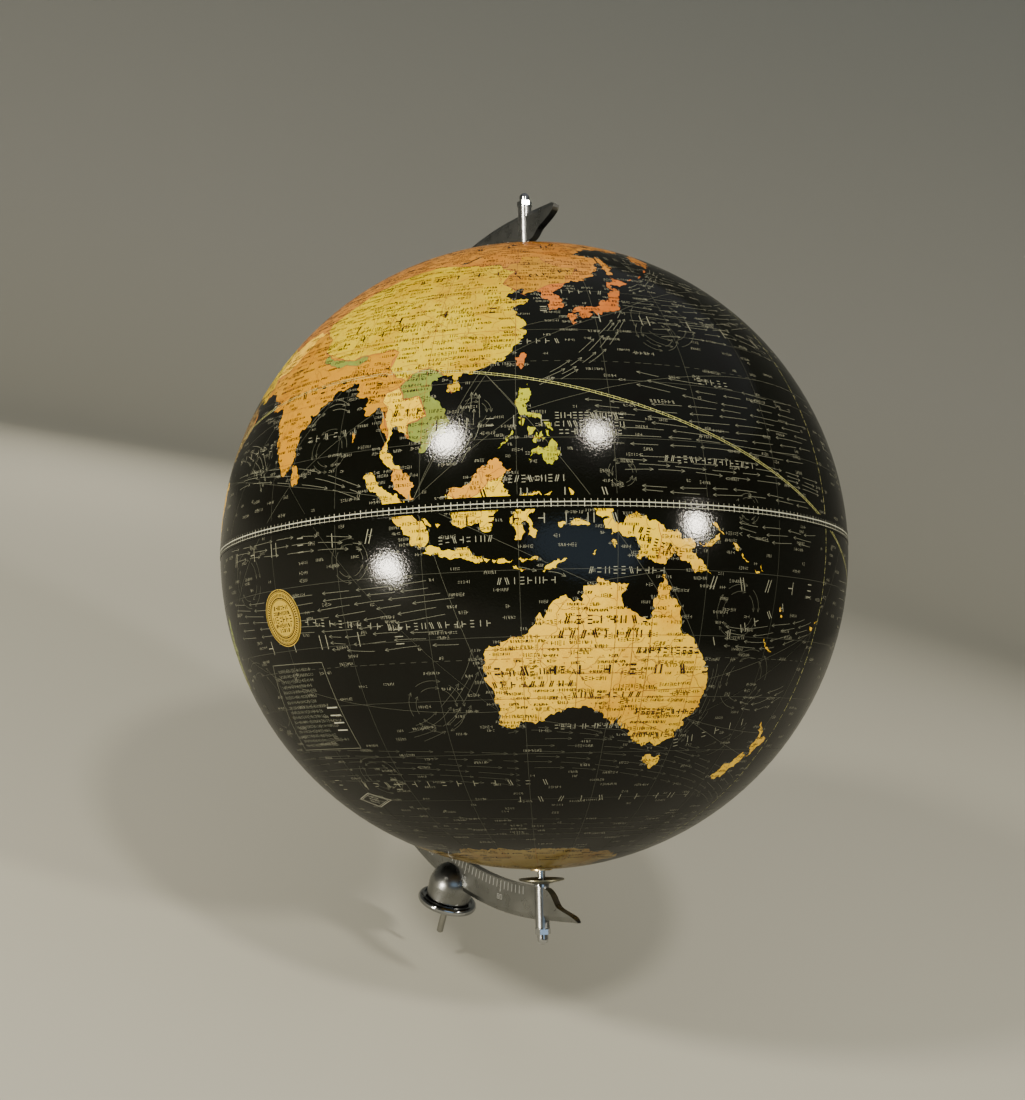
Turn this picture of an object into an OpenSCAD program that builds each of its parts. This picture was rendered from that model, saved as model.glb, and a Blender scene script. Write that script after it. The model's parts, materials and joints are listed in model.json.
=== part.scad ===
// Desk globe on a cast semi-meridian arm, with the threaded stud that fixes it to a base.
// Origin: centre of the flange's underside. +Z runs up through the globe's centre.
// The arm stands in the XZ plane, on the +X side, and the polar axis leans towards +X.

/* [Globe] */
// Finished diameter of the globe, over the printed paper
globe_d = 254; // [200:1:320]
// Thickness of the pressed-board shell
shell_t = 2.4; // [1.5:0.1:4]
// Thickness of the printed paper gores
gore_t = 0.3; // [0.2:0.05:0.4]
// Latitude where the gores stop and the round polar paper begins
calotte_lat = 70; // [60:1:80]
// Width of the paper tape over the equator joint
tape_w = 4.6; // [3:0.1:10]
// Width of the joining hoop inside the equator
hoop_w = 22; // [12:1:30]

/* [Meridian arm] */
// Lean of the polar axis from upright
tilt = 23.5; // [15:0.5:30]
// Gap between the globe and the arm's inner edge
arm_gap = 7; // [6:0.5:9]
// Depth of the arm, from its inner edge to its outer edge
arm_depth = 13; // [11:0.5:15]
// Thickness of the arm
arm_t = 3.3; // [2.8:0.1:4]
// Width of the bevel along the arm's outer edge
bevel_w = 2; // [1:0.1:3]
// Diameter of the round boss at each pole
boss_d = 5.8; // [5.4:0.1:7]

/* [Axle] */
// Diameter of the axle rod
axle_d = 2.4; // [2:0.1:2.6]
// Radial clearance of each running fit
running_fit = 0.05; // [0.02:0.01:0.1]
// Diameter of the dished washer at each pole
dish_d = 18.3; // [14:0.1:20]
// Size of the cap nuts across their flats
nut_af = 5.6; // [5.2:0.1:6.4]

/* [Foot] */
// Diameter of the dome that the arm stands on
dome_d = 19.2; // [17:0.1:21]
// Height of the dome's straight part
dome_straight = 5.6; // [5:0.1:7]
// Diameter of the flange ring
flange_d = 25.6; // [24:0.1:30]
// Thickness of the flange ring
flange_t = 3.4; // [3:0.1:4.4]
// Gap between the flange ring and the dome
foot_gap = 0.4; // [0.3:0.05:0.6]
// Diameter of the stud's thread
stud_d = 2.8; // [2.5:0.1:3]
// Length of the stud below the flange
stud_below = 13; // [8:0.5:20]

/* [Hidden] */
$fn = 96;

// globe
globe_r = globe_d / 2;
shell_r = globe_r - gore_t;
shell_in = shell_r - shell_t;
pole_hole_r = 3.2;
glue_gap = 0.1;
hoop_t = 1.6;
hoop_r = sqrt(pow(shell_in, 2) - pow(hoop_w / 2, 2)) - glue_gap;
block_r = 16;
block_depth = 14;
tape_t = 0.12;

// arm, measured from the globe's centre
arm_in = globe_r + arm_gap;
arm_out = arm_in + arm_depth;
bevel_drop = 0.9;
boss_in = arm_in - 0.1;
boss_out = arm_out + 3;

// axle stack, outwards from the globe: bush, spacer, dished washer, collar, boss, washer, nut
axle_r = axle_d / 2;
bush_flange_t = 0.5;
bush_face = globe_r + bush_flange_t;
end_play = 0.15;
collar_t = 0.9;
collar_r = 3.2;
collar_in = boss_in - collar_t;
dish_t = 0.5;
dish_rise = 1.6;
dish_hub_r = 2.6;
dish_in = collar_in - dish_t;
washer_t = 0.5;
washer_r = 3.0;
nut_base = boss_out + washer_t;
hex_t = 2.0;
nut_dome_r = 2.2;
nut_neck = 1.9;
nut_top = nut_base + hex_t + nut_neck + nut_dome_r;
axle_end = nut_base + hex_t + nut_neck;

// foot
dome_r = dome_d / 2;
dome_base = flange_t + foot_gap;
dome_top = dome_base + dome_straight + dome_r;
foot_drop = globe_r + 28.4;
centre_h = foot_drop + 2.1;
stud_r = stud_d / 2;
stud_tip = 0.5;
shank_r = stud_r + 0.2;
stud_top = dome_base + 9.4;
socket_top = stud_top + 0.5;
groove_z = dome_base + 3.6;
groove_w = 2.2;
groove_depth = 0.5;
grub_r = 0.95;
grub_tip = shank_r - groove_depth + 0.15;
grub_sink = 0.4;
grub_slot_w = 0.4;
grub_slot_depth = 0.6;
recess_r = flange_d / 2 - 2.2;
recess_depth = 0.8;
hub_r = 2.4;

// Globe's own frame: x towards the arm, z along the polar axis to the north
module globe_frame() { translate([0, 0, centre_h]) rotate([0, tilt, 0]) children(); }

// Turns a north-end piece into the south-end piece
module at_south() { mirror([0, 0, 1]) children(); }

// Lays an outline drawn in x and z flat on the arm's middle plane
module in_arm_plane(thickness) {
    rotate([90, 0, 0]) linear_extrude(thickness, center = true) children();
}

// Points of a cubic curve from a to d, with handles b and c
function curve(a, b, c, d, steps = 10) = [for (i = [0:steps])
    let (t = i / steps, s = 1 - t)
    s * s * s * a + 3 * s * s * t * b + 3 * s * t * t * c + t * t * t * d];

// Exact hollow hemisphere above the equator, with a round hole at the pole
module half_shell(r_in, r_out, hole_r) {
    difference() {
        intersection() {
            sphere(r_out);
            translate([0, 0, r_out / 2]) cube([3 * r_out, 3 * r_out, r_out], center = true);
        }
        sphere(r_in);
        translate([0, 0, r_in / 2]) cylinder(h = r_out, r = hole_r);
    }
}

// ---- base body: the flange and stud stay with whatever the globe is mounted on ----

module base_flange() color("silver") difference() {
    rotate_extrude() union() {
        square([flange_d / 2 - flange_t / 2, flange_t]);
        translate([flange_d / 2 - flange_t / 2, flange_t / 2]) circle(flange_t / 2);
    }
    translate([0, 0, -1]) cylinder(h = flange_t + 2, r = shank_r);
    translate([0, 0, flange_t - recess_depth]) difference() {
        cylinder(h = 2, r = recess_r);
        translate([0, 0, -1]) cylinder(h = 4, r = hub_r);
    }
}

// Plain shank above, with a groove for the set screw, and the thread below
module base_stud() color("lightgray") difference() {
    union() {
        cylinder(h = stud_top, r = shank_r);
        translate([0, 0, stud_tip - stud_below]) cylinder(h = stud_below - stud_tip, r = stud_r);
        translate([0, 0, -stud_below]) cylinder(h = stud_tip, r1 = stud_r - stud_tip, r2 = stud_r);
    }
    translate([0, 0, groove_z - groove_w / 2]) difference() {
        cylinder(h = groove_w, r = shank_r + 1);
        translate([0, 0, -1]) cylinder(h = groove_w + 2, r = shank_r - groove_depth);
    }
}

// ---- meridian body ----

// Cross-section of the arm: radius across, thickness up
module arm_section() {
    polygon([[arm_in, -arm_t / 2], [arm_out - bevel_w, -arm_t / 2],
             [arm_out, -arm_t / 2 + bevel_drop], [arm_out, arm_t / 2 - bevel_drop],
             [arm_out - bevel_w, arm_t / 2], [arm_in, arm_t / 2]]);
}

// Half ring from the south pole round the east side to the north pole
module arm_ring() {
    rotate([90, 0, 0]) rotate([0, 0, -90]) rotate_extrude(angle = 180, $fn = 180) arm_section();
}

// Outline of the tail past a pole: x away from the arm, y outwards along the axis
module tail_outline(waist, shoulder, tip) {
    inner = curve([0, arm_in], [-7.4, arm_in], [waist[0] + 2.4, waist[1] - 2.2], waist);
    outer = curve(waist, [waist[0] - 2.8, waist[1] + 1.9], shoulder, tip);
    polygon(concat(inner, outer, [[tip[0] + 2.2, arm_out - 0.1], [0, arm_out], [4, arm_out], [4, arm_in]]));
}

// Tail with the same bevelled outer edge as the arm
module arm_tail(waist, shoulder, tip) intersection() {
    in_arm_plane(arm_t) tail_outline(waist, shoulder, tip);
    translate([-40, 0, 0]) rotate([90, 0, 90]) linear_extrude(80)
        polygon([[-arm_t / 2, 0], [-arm_t / 2, arm_out - bevel_w], [-arm_t / 2 + bevel_drop, arm_out],
                 [arm_t / 2 - bevel_drop, arm_out], [arm_t / 2, arm_out - bevel_w], [arm_t / 2, 0]]);
}

module boss() translate([0, 0, boss_in]) cylinder(h = boss_out - boss_in, r = boss_d / 2);

module foot_dome() {
    translate([0, 0, dome_base]) cylinder(h = dome_straight, r = dome_r);
    translate([0, 0, dome_base + dome_straight]) intersection() {
        sphere(dome_r);
        cylinder(h = dome_r, r = dome_r);
    }
}

module meridian_arm() color("gainsboro") difference() {
    union() {
        globe_frame() {
            arm_ring();
            arm_tail([-9.5, arm_in + 3.7], [-19.5, arm_in + 7.6], [-20.2, arm_in + 11.4]);
            at_south() arm_tail([-10.2, arm_in + 7.4], [-19.6, arm_in + 9.8], [-21.8, arm_in + 12.9]);
            boss();
            at_south() boss();
        }
        foot_dome();
    }
    globe_frame() cylinder(h = 4 * globe_r, r = axle_r + 0.02, center = true);
    translate([0, 0, dome_base - 1]) cylinder(h = socket_top - dome_base + 1, r = shank_r + running_fit);
    translate([0, 0, groove_z]) rotate([90, 0, 0]) cylinder(h = dome_r + 2, r = grub_r + 0.02);
}

// Set screw on the far side of the dome; its tip runs in the stud's groove
module grub_screw() color("dimgray") difference() {
    translate([0, -grub_tip, groove_z]) rotate([90, 0, 0])
        cylinder(h = dome_r - grub_sink - grub_tip, r = grub_r);
    translate([0, grub_sink - dome_r, groove_z])
        cube([grub_slot_w, 2 * grub_slot_depth, 3 * grub_r], center = true);
}

module axle_rod() color("lightgray") globe_frame()
    cylinder(h = 2 * axle_end, r = axle_r, center = true);

module cap_nut() color("silver") difference() {
    union() {
        translate([0, 0, nut_base]) cylinder(h = hex_t, r = nut_af / 2 / cos(30), $fn = 6);
        translate([0, 0, nut_base + hex_t]) cylinder(h = nut_neck, r = nut_dome_r);
        translate([0, 0, nut_base + hex_t + nut_neck]) intersection() {
            sphere(nut_dome_r);
            cylinder(h = nut_dome_r, r = nut_dome_r);
        }
    }
    translate([0, 0, nut_base - 1]) cylinder(h = axle_end - nut_base + 1.05, r = axle_r + 0.02);
}
module north_cap_nut() globe_frame() cap_nut();
module south_cap_nut() globe_frame() at_south() cap_nut();

// Plain washer on the axle, from one distance out from the globe's centre
module ring(from, thickness, r) difference() {
    translate([0, 0, from]) cylinder(h = thickness, r = r);
    translate([0, 0, from - 1]) cylinder(h = thickness + 2, r = axle_r + 0.02);
}

module nut_washer() color("silver") ring(boss_out, washer_t, washer_r);
module north_nut_washer() globe_frame() nut_washer();
module south_nut_washer() globe_frame() at_south() nut_washer();

module collar() color("silver") ring(collar_in, collar_t, collar_r);
module north_collar() globe_frame() collar();
module south_collar() globe_frame() at_south() collar();

// Spring washer: flat hub against the collar, rim turned up towards the globe
module dished_washer() color("#5f5f4c") rotate_extrude() polygon([
    [axle_r + 0.02, dish_in], [dish_hub_r, dish_in],
    [dish_d / 2, dish_in - dish_rise], [dish_d / 2, dish_in - dish_rise + dish_t],
    [dish_hub_r, dish_in + dish_t], [axle_r + 0.02, dish_in + dish_t]]);
module north_dished_washer() globe_frame() dished_washer();
module south_dished_washer() globe_frame() at_south() dished_washer();

// Sleeve that keeps the globe off the dished washer
module spacer() color("lightgray") ring(bush_face + end_play, dish_in - bush_face - end_play, axle_r + 0.35);
module north_spacer() globe_frame() spacer();
module south_spacer() globe_frame() at_south() spacer();

// ---- globe body ----

module north_shell() color("burlywood") globe_frame() half_shell(shell_in, shell_r, pole_hole_r);
module south_shell() color("burlywood") globe_frame() at_south() half_shell(shell_in, shell_r, pole_hole_r);

// Card hoop glued inside both shells, across the equator
module joining_hoop() color("tan") globe_frame() translate([0, 0, -hoop_w / 2]) difference() {
    cylinder(h = hoop_w, r = hoop_r);
    translate([0, 0, -1]) cylinder(h = hoop_w + 2, r = hoop_r - hoop_t);
}

// Printed paper of one hemisphere, from the equator to the polar paper
module gores() color("#14140f") intersection() {
    half_shell(shell_r, globe_r, pole_hole_r);
    cylinder(h = globe_r * sin(calotte_lat), r = globe_r);
}
module north_gores() globe_frame() gores();
module south_gores() globe_frame() at_south() gores();

module calotte() intersection() {
    half_shell(shell_r, globe_r, pole_hole_r);
    translate([0, 0, globe_r * sin(calotte_lat)]) cylinder(h = globe_r, r = globe_r);
}
module north_calotte() color("#14140f") globe_frame() calotte();
module south_calotte() color("#d8cfa0") globe_frame() at_south() calotte();

module equator_tape() color("white") globe_frame() intersection() {
    difference() {
        sphere(globe_r + tape_t);
        sphere(globe_r);
    }
    cube([3 * globe_r, 3 * globe_r, tape_w], center = true);
}

// Wood block glued inside the shell at the pole, bored for the bush
module pole_block() color("peru") difference() {
    intersection() {
        sphere(shell_in - glue_gap);
        translate([0, 0, shell_in - block_depth]) cylinder(h = block_depth, r = block_r);
    }
    cylinder(h = globe_r, r = pole_hole_r);
}
module north_pole_block() globe_frame() pole_block();
module south_pole_block() globe_frame() at_south() pole_block();

// Flanged brass bush in the shell and block; it turns on the axle rod
module bush() color("goldenrod") difference() {
    union() {
        translate([0, 0, shell_in - block_depth]) cylinder(h = globe_r - shell_in + block_depth, r = pole_hole_r);
        translate([0, 0, globe_r]) cylinder(h = bush_flange_t, r = pole_hole_r + 1.2);
    }
    cylinder(h = 2 * globe_r, r = axle_r + running_fit);
}
module north_bush() globe_frame() bush();
module south_bush() globe_frame() at_south() bush();

base_flange();
base_stud();
meridian_arm();
grub_screw();
axle_rod();
north_cap_nut();
south_cap_nut();
north_nut_washer();
south_nut_washer();
north_collar();
south_collar();
north_dished_washer();
south_dished_washer();
north_spacer();
south_spacer();
north_shell();
south_shell();
joining_hoop();
north_gores();
south_gores();
north_calotte();
south_calotte();
equator_tape();
north_pole_block();
south_pole_block();
north_bush();
south_bush();
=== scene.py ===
import json
import math
import random

import bpy
import numpy as np
from mathutils import Matrix, Vector
from mathutils.geometry import delaunay_2d_cdt


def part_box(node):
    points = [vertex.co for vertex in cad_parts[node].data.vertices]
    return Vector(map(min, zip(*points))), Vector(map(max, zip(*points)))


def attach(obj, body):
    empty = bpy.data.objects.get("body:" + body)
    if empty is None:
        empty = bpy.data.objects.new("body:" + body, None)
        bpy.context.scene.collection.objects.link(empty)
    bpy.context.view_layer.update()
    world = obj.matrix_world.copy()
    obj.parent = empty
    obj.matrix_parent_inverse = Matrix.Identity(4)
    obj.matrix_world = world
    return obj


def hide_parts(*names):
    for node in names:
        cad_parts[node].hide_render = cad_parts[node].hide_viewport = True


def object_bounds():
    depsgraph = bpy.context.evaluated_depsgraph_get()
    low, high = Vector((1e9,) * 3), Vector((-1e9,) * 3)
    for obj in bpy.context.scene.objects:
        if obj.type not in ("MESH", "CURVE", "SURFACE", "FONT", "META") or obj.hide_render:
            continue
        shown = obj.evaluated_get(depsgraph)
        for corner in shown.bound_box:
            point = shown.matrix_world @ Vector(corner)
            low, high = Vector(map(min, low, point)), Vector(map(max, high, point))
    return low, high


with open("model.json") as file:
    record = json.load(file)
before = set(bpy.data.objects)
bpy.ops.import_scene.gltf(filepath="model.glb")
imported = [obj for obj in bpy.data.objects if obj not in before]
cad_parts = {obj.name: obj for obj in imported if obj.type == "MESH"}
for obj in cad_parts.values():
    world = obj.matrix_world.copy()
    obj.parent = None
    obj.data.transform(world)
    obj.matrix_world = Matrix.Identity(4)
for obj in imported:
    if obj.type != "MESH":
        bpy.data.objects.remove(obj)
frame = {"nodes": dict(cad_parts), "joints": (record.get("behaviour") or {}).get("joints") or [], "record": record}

cad_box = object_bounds()
scene = bpy.context.scene
MM = 0.001

# ---------------------------------------------------------------- the frame's own sizes

spin = next(j for j in frame["joints"] if j["name"] == "globe_spin")
CENTRE = np.array(spin["pos_m"], float)
POLE = np.array(spin["axis"], float) / np.linalg.norm(spin["axis"])
SIDE = np.array([0.0, 1.0, 0.0])
TOWARDS_ARM = np.cross(SIDE, POLE)
ARM_LON = -16.67         # the arm stands over this longitude at rest
GLOBE_R = (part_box("north_gores")[1].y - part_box("north_gores")[0].y) / 2
PAPER_T = 0.3 * MM
TAPE_R = (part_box("equator_tape")[1].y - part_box("equator_tape")[0].y) / 2
CALOTTE_LAT = 70.0       # the gores end here and a round polar paper begins
POLE_LAT = 88.5          # the polar paper's hole for the axle's bush
TAPE_HALF_WIDTH = 2.3 * MM
TAPE_LAT = math.degrees(math.asin(TAPE_HALF_WIDTH / GLOBE_R))
GORE_WIDTH = 30
WEST, EAST = -170, 190   # the map is cut along this meridian, in open sea


def on_globe(lon, lat, radius=GLOBE_R):
    """Places longitudes and latitudes, in degrees, on the globe; returns one row per point."""
    a, b = np.radians(np.asarray(lon, float) - ARM_LON), np.radians(np.asarray(lat, float))
    across = np.cos(a)[..., None] * TOWARDS_ARM + np.sin(a)[..., None] * SIDE
    out = np.cos(b)[..., None] * across + np.sin(b)[..., None] * POLE
    return CENTRE + np.asarray(radius)[..., None] * out


def steps(start, stop, step):
    """Evenly spaced numbers from start to stop, both included, about a step apart."""
    count = round((stop - start) / step)
    return [start + (stop - start) * i / count for i in range(count + 1)]


def ring_points(lon, lat, radius, angles):
    """Points on a round ring on the globe, its centre and radius in degrees and the angles in radians."""
    squeeze = math.cos(math.radians(lat))
    return [(lon + radius * math.cos(t) / squeeze, lat + radius * math.sin(t)) for t in angles]


def add_piece(name, mesh, material, body):
    """Puts a finished mesh into the scene as a piece riding on a body."""
    mesh.materials.append(material)
    piece = bpy.data.objects.new(name, mesh)
    scene.collection.objects.link(piece)
    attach(piece, body)
    return piece


# ---------------------------------------------------------------- colours, as linear red, green, blue

def srgb(r, g, b):
    """A colour given as it looks on a screen, from 0 to 255, as linear numbers."""
    return tuple(((v / 255 + 0.055) / 1.055) ** 2.4 if v > 10 else v / 255 / 12.92 for v in (r, g, b))


OCEAN = srgb(9, 10, 6)
USSR = srgb(186, 126, 46)
YELLOW = srgb(204, 178, 4)
INDIA = srgb(190, 136, 22)
AMBER = srgb(240, 202, 16)
GREEN = srgb(122, 138, 60)
MALAY = srgb(218, 156, 44)
KOREA = srgb(186, 108, 46)
BROWN = srgb(178, 130, 34)
LIME = srgb(170, 172, 36)
TAN = srgb(244, 198, 44)
# a cream darkened with painted shade for Antarctica at the ball's shaded lower end; the other cream lands and the
# paper's bare cut edges share it
SHADED_CREAM = srgb(132, 114, 66)
PINK = srgb(206, 132, 84)
# printing inks, by name; a tone is one ink on the sea and one on land, and None prints nothing there
INKS = {
    "pale": srgb(172, 172, 154), "dim": srgb(62, 63, 53), "black": srgb(34, 22, 10), "brown": srgb(132, 88, 44),
    "frontier": srgb(146, 84, 50), "white": srgb(176, 177, 158), "yellow": srgb(184, 184, 116),
    "sea_word": srgb(132, 132, 113), "route": srgb(80, 81, 68), "current": srgb(102, 103, 88),
    "faint": srgb(70, 71, 60), "gold": srgb(186, 158, 54), "gold_print": srgb(56, 38, 10),
}
TONES = [("pale", "black"), ("dim", "brown"), (None, "brown"), ("white", "white"), ("yellow", "yellow"),
         ("sea_word", "black"), (None, "frontier"), ("gold", "gold"), ("gold_print", "gold_print"),
         ("current", None), ("route", None), ("faint", None)]
(LINES, GRATICULE, RIVER, WHITE_ALL, YELLOW_LINE, WORD, FRONTIER, GOLD, GOLD_INK, SEA_ONLY, ROUTE,
 FAINT) = range(len(TONES))


# ---------------------------------------------------------------- the map: outlines as longitude and latitude

def outline(text):
    """Reads 'lon lat, lon lat, ...' as a list of points."""
    return [tuple(float(v) for v in pair.split()) for pair in text.split(",")]


ASIA_EUROPE = outline(
    "32.5 30, 34.3 27.9, 34.9 29.5, 35.5 28, 37.2 25, 39 22, 40.3 19.7, 42.5 16.5, 43.3 12.7, 45 12.8, 48 14,"
    "52 15.6, 55 17.5, 57.8 19, 59.8 22.5, 58.6 23.6, 56.6 24.5, 56.4 26.2, 54.5 24.3, 51.8 24.2, 51.3 26,"
    "50.2 26.4, 48.5 28.5, 48 30, 50.1 30, 51.4 27.9, 54 26.6, 56.8 27.1, 57.3 25.8, 61.6 25.1, 66.6 25.3,"
    "67.2 24.2, 68.4 23.3, 70.3 22.9, 69 22.3, 70.3 20.9, 72.1 21.1, 72.4 22.2, 72.8 20.5, 72.8 19, 73.3 17,"
    "73.9 15.2, 74.8 13, 75.4 11.7, 76.2 9.9, 77 8.4, 77.6 8.1, 78.2 8.9, 79 9.3, 79.8 10.4, 79.8 12, 80.3 13.4,"
    "80.1 15, 80.6 15.8, 82.2 16.5, 83.5 17.9, 85 19.4, 86.6 20, 87 21.3, 88 21.7, 89.5 21.8, 90.6 22.6,"
    "91.8 22.3, 92.4 20.6, 94 19.5, 94.5 18.3, 94.3 16.1, 95.4 15.8, 96.3 16.5, 97.2 17.1, 97.7 16.2, 98 14.4,"
    "98.7 12.4, 98.5 10.2, 98.2 8.4, 99 7.4, 100.2 6.4, 100.4 5.2, 100.7 4, 101.4 2.9, 102.4 2, 103.5 1.3,"
    "104.2 1.5, 103.5 2.7, 103.4 4.2, 103 5.5, 102.1 6.2, 101.2 6.9, 100.4 7.6, 100.2 8.6, 99.3 9.4, 99.2 10.8,"
    "99.9 12, 100 13.3, 100.8 13.4, 101 12.6, 102.3 12.1, 103 11, 103.6 10.6, 104.8 10.4, 105 9.6, 104.8 8.6,"
    "106.2 9.4, 106.9 10.4, 109 11.4, 109.3 12.8, 109.1 14, 108.8 15.4, 107.8 16.3, 106.6 17.6, 105.8 18.8,"
    "105.9 19.9, 106.9 20.7, 108.4 21.7, 109.6 21.6, 109.9 20.4, 110.5 21.2, 111.9 21.8, 113.4 22.2, 114.4 22.5,"
    "116.6 23.2, 118.1 24.5, 119.4 25.5, 119.9 26.8, 121 28, 121.8 29, 121.8 30, 120.6 30.4, 121.9 31, 121.7 32,"
    "120.8 32.9, 120.3 34.2, 119.3 34.9, 120.2 36, 122.3 36.9, 122.5 37.4, 121 37.7, 119.6 37.1, 118.9 37.9,"
    "117.9 38.4, 118.2 39.1, 119.6 39.8, 121 40.8, 122.1 40.6, 121.4 39.5, 121.4 38.8, 122.8 39.5, 124.4 39.9,"
    "125.2 39.5, 125 38.2, 126.4 37.6, 126.7 36.4, 126.4 34.6, 127.6 34.7, 129 35.1, 129.5 36.2, 129.3 37.2,"
    "128.3 38.6, 127.5 39.4, 128.2 40, 129.6 41, 130.8 42.4, 132 43.2, 133.3 42.8, 135.6 44.3, 138.3 46.7,"
    "140.3 48.6, 140.6 50.7, 141.4 52.3, 140.6 53.6, 137.6 53.8, 135.2 54.8, 138 56.2, 141 58, 143 59.3, 148.6 59.4,"
    "152 59, 155 59.4, 155.5 60.3, 157.5 61.7, 160.4 61.9, 163.8 62.5, 163.2 61, 161.5 60.2, 158.6 58.2, 156.8 57,"
    "155.6 55.4, 155.7 53, 156.6 51, 158.3 52.3, 158.8 53.3, 160.2 53.3, 160 54.9, 162 55.2, 163.2 56.2, 162.9 57.8,"
    "164.4 59.8, 170.3 60, 172.8 61.2, 177 62.5, 179.4 62.6, 178.6 64.5, 181 65.3, 183.4 64.4, 187 64.4, 189.8 66,"
    "185 67.2, 180 68.9, 176 69.7, 170.5 70, 160.5 69.6, 153 70.9, 145 72.3, 140 72.5, 131 71, 129.4 71.5, 127 73.2,"
    "119 73.1, 113.5 73.6, 109 73.6, 113 75.7, 104.5 77.6, 98 76.1, 87 75, 81 73.6, 80.6 72, 75 72.8, 73 71.4,"
    "72.6 73, 69 73, 67 70.4, 68.4 68.6, 64 69.2, 60.5 69.8, 54 68.4, 49 67.8, 44.2 68.4, 43.6 66.3, 40.2 64.7,"
    "37 64, 34.8 64.6, 33 66.6, 40.4 66.4, 41 67.6, 33 69.4, 28 71, 21 70.2, 15 68.2, 12 65, 9.5 63.6, 5.2 62,"
    "5.2 59.5, 7.2 58, 10.4 59.2, 11.6 57.8, 12.8 55.6, 14.3 55.5, 16.5 57, 18.5 59.8, 17.3 61, 21.2 64.4, 24 65.8,"
    "25 65, 21.5 62.5, 22.6 60, 28 60.5, 29.8 59.9, 23.6 59.2, 24.3 58, 21.6 57.4, 21 55.2, 18.7 54.6, 14 54, 11 54,"
    "10.5 57.6, 8.2 56.5, 8.8 53.9, 5 53, 3.4 51.4, 1.6 50.6, -1.4 49.6, -4.6 48.4, -2.1 47.2, -1.2 44.6, -1.9 43.4,"
    "-8 43.6, -9.1 42.2, -8.8 40.4, -9.4 38.7, -8.8 37.1, -6.4 36.7, -5.4 36.1, -2.2 36.8, -0.6 38, 0.1 38.8,"
    "-0.2 39.9, 3.2 41.9, 3.3 43.2, 6.5 43.2, 8.8 44.4, 10.3 43.5, 12.3 41.7, 14.4 40.7, 15.8 39.9, 16 38.1,"
    "17.1 39, 16.8 40.5, 18.4 40.1, 16 41.6, 14 42.7, 12.5 44.2, 12.6 45.5, 13.8 45.1, 15.3 44.1, 19.4 41.9,"
    "19.4 40.3,"
    "21.3 38.2, 21.8 36.9, 23.1 36.6, 24 38, 22.9 39.3, 24 40.5, 26.1 40.8, 26.3 39.4, 26.8 38.2, 27.6 37, 30.6 36.7,"
    "32.5 36.1, 34.6 36.7, 36 36.4, 35.5 34.2, 34.5 31.6, 32.5 31.1")
AFRICA = outline(
    "32.4 31.1, 32.6 29.8, 33.7 27.7, 35.6 24, 37.3 21, 37.4 18.8, 39.6 15.3, 43.1 12.2, 43.5 11.3, 48 11.2,"
    "51.2 11.8,"
    "50.7 9.2, 48 4.6, 44.6 1.5, 42 -1, 40 -3.2, 38.9 -5.6, 39.5 -7.5, 40.6 -10.8, 40.6 -15, 37.4 -17.6, 34.9 -19.9,"
    "35.5 -23.8, 32.8 -25.8, 32.4 -28.5, 30 -31.4, 27 -33.7, 22.4 -34.1, 20 -34.8, 18.3 -34, 18.2 -32, 16.4 -28.6,"
    "14.6 -24, 14.3 -22, 12.4 -18.5, 11.8 -16.5, 13.6 -12.4, 13.2 -9, 12.2 -6, 9.4 -2.4, 9.3 0, 9.7 3.6, 8.5 4.7,"
    "5.9 4.3, 4.3 6.3, 1 6, -2 4.8, -7.6 4.4, -13.1 8.2, -14.9 10.8, -16.8 12.6, -17.4 14.8, -16.3 19, -17 21,"
    "-15.6 24, -12.8 27.9, -9.8 29.7, -9.6 31.4, -6.6 34, -5.8 35.8, -2 35.2, 3 36.9, 10 37.3, 10.9 36.3, 10.2 34.2,"
    "11.2 33.2, 15.2 32.3, 19.2 30.3, 20.2 32.6, 23 32.6, 25 31.6, 29 30.9")
AUSTRALIA = outline(
    "113.7 -22.6, 114.1 -21.8, 115.5 -21.5, 117.2 -20.7, 118.9 -20, 121.1 -19.5, 122.2 -18.1, 122.3 -17.2,"
    "122.9 -16.4,"
    "123.6 -17.4, 123.9 -16.3, 125.1 -14.7, 126.1 -14.1, 127 -13.8, 127.9 -14.7, 128.2 -15, 129.5 -14.9, 129.8 -13.5,"
    "130.7 -12.4, 132.5 -12.1, 132 -11.2, 133.5 -11.8, 135.3 -12.1, 136.8 -12.2, 136 -13.5, 135.8 -14.8, 137.2 -16,"
    "139.2 -17.3, 140.8 -17.5, 141.4 -16, 141.6 -14, 141.8 -12.5, 142.2 -10.9, 142.7 -10.8, 143.2 -12.4, 143.6 -14,"
    "144.7 -14.4, 145.4 -15.3, 145.7 -16.8, 146.2 -18.6, 147.6 -19.8, 149 -20.6, 149.7 -22.2, 150.8 -22.8,"
    "151.3 -23.9,"
    "152.9 -25.3, 153.2 -26.6, 153.5 -28.4, 153 -30.8, 152.4 -32.5, 151.3 -33.6, 150.5 -35.3, 150 -37.3, 147.9 -38,"
    "146.3 -39.1, 144.8 -38.1, 143.6 -38.8, 141 -38.1, 139.8 -36.9, 139.2 -35.7, 138.1 -35.6, 138.4 -34.4,"
    "137.7 -35.1,"
    "137.8 -33, 136.4 -34.2, 135.6 -34.9, 135.2 -33.9, 134.2 -32.8, 132.2 -32, 131.1 -31.5, 128.9 -31.7, 126 -32.3,"
    "124.2 -33, 123.5 -33.9, 120 -33.9, 118 -35.1, 116.5 -35, 115.1 -34.3, 115.7 -32.8, 115.7 -31.6, 114.9 -29.6,"
    "114.1 -27.6, 113.4 -26.3, 114 -26.1, 113.5 -24.3")
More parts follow.
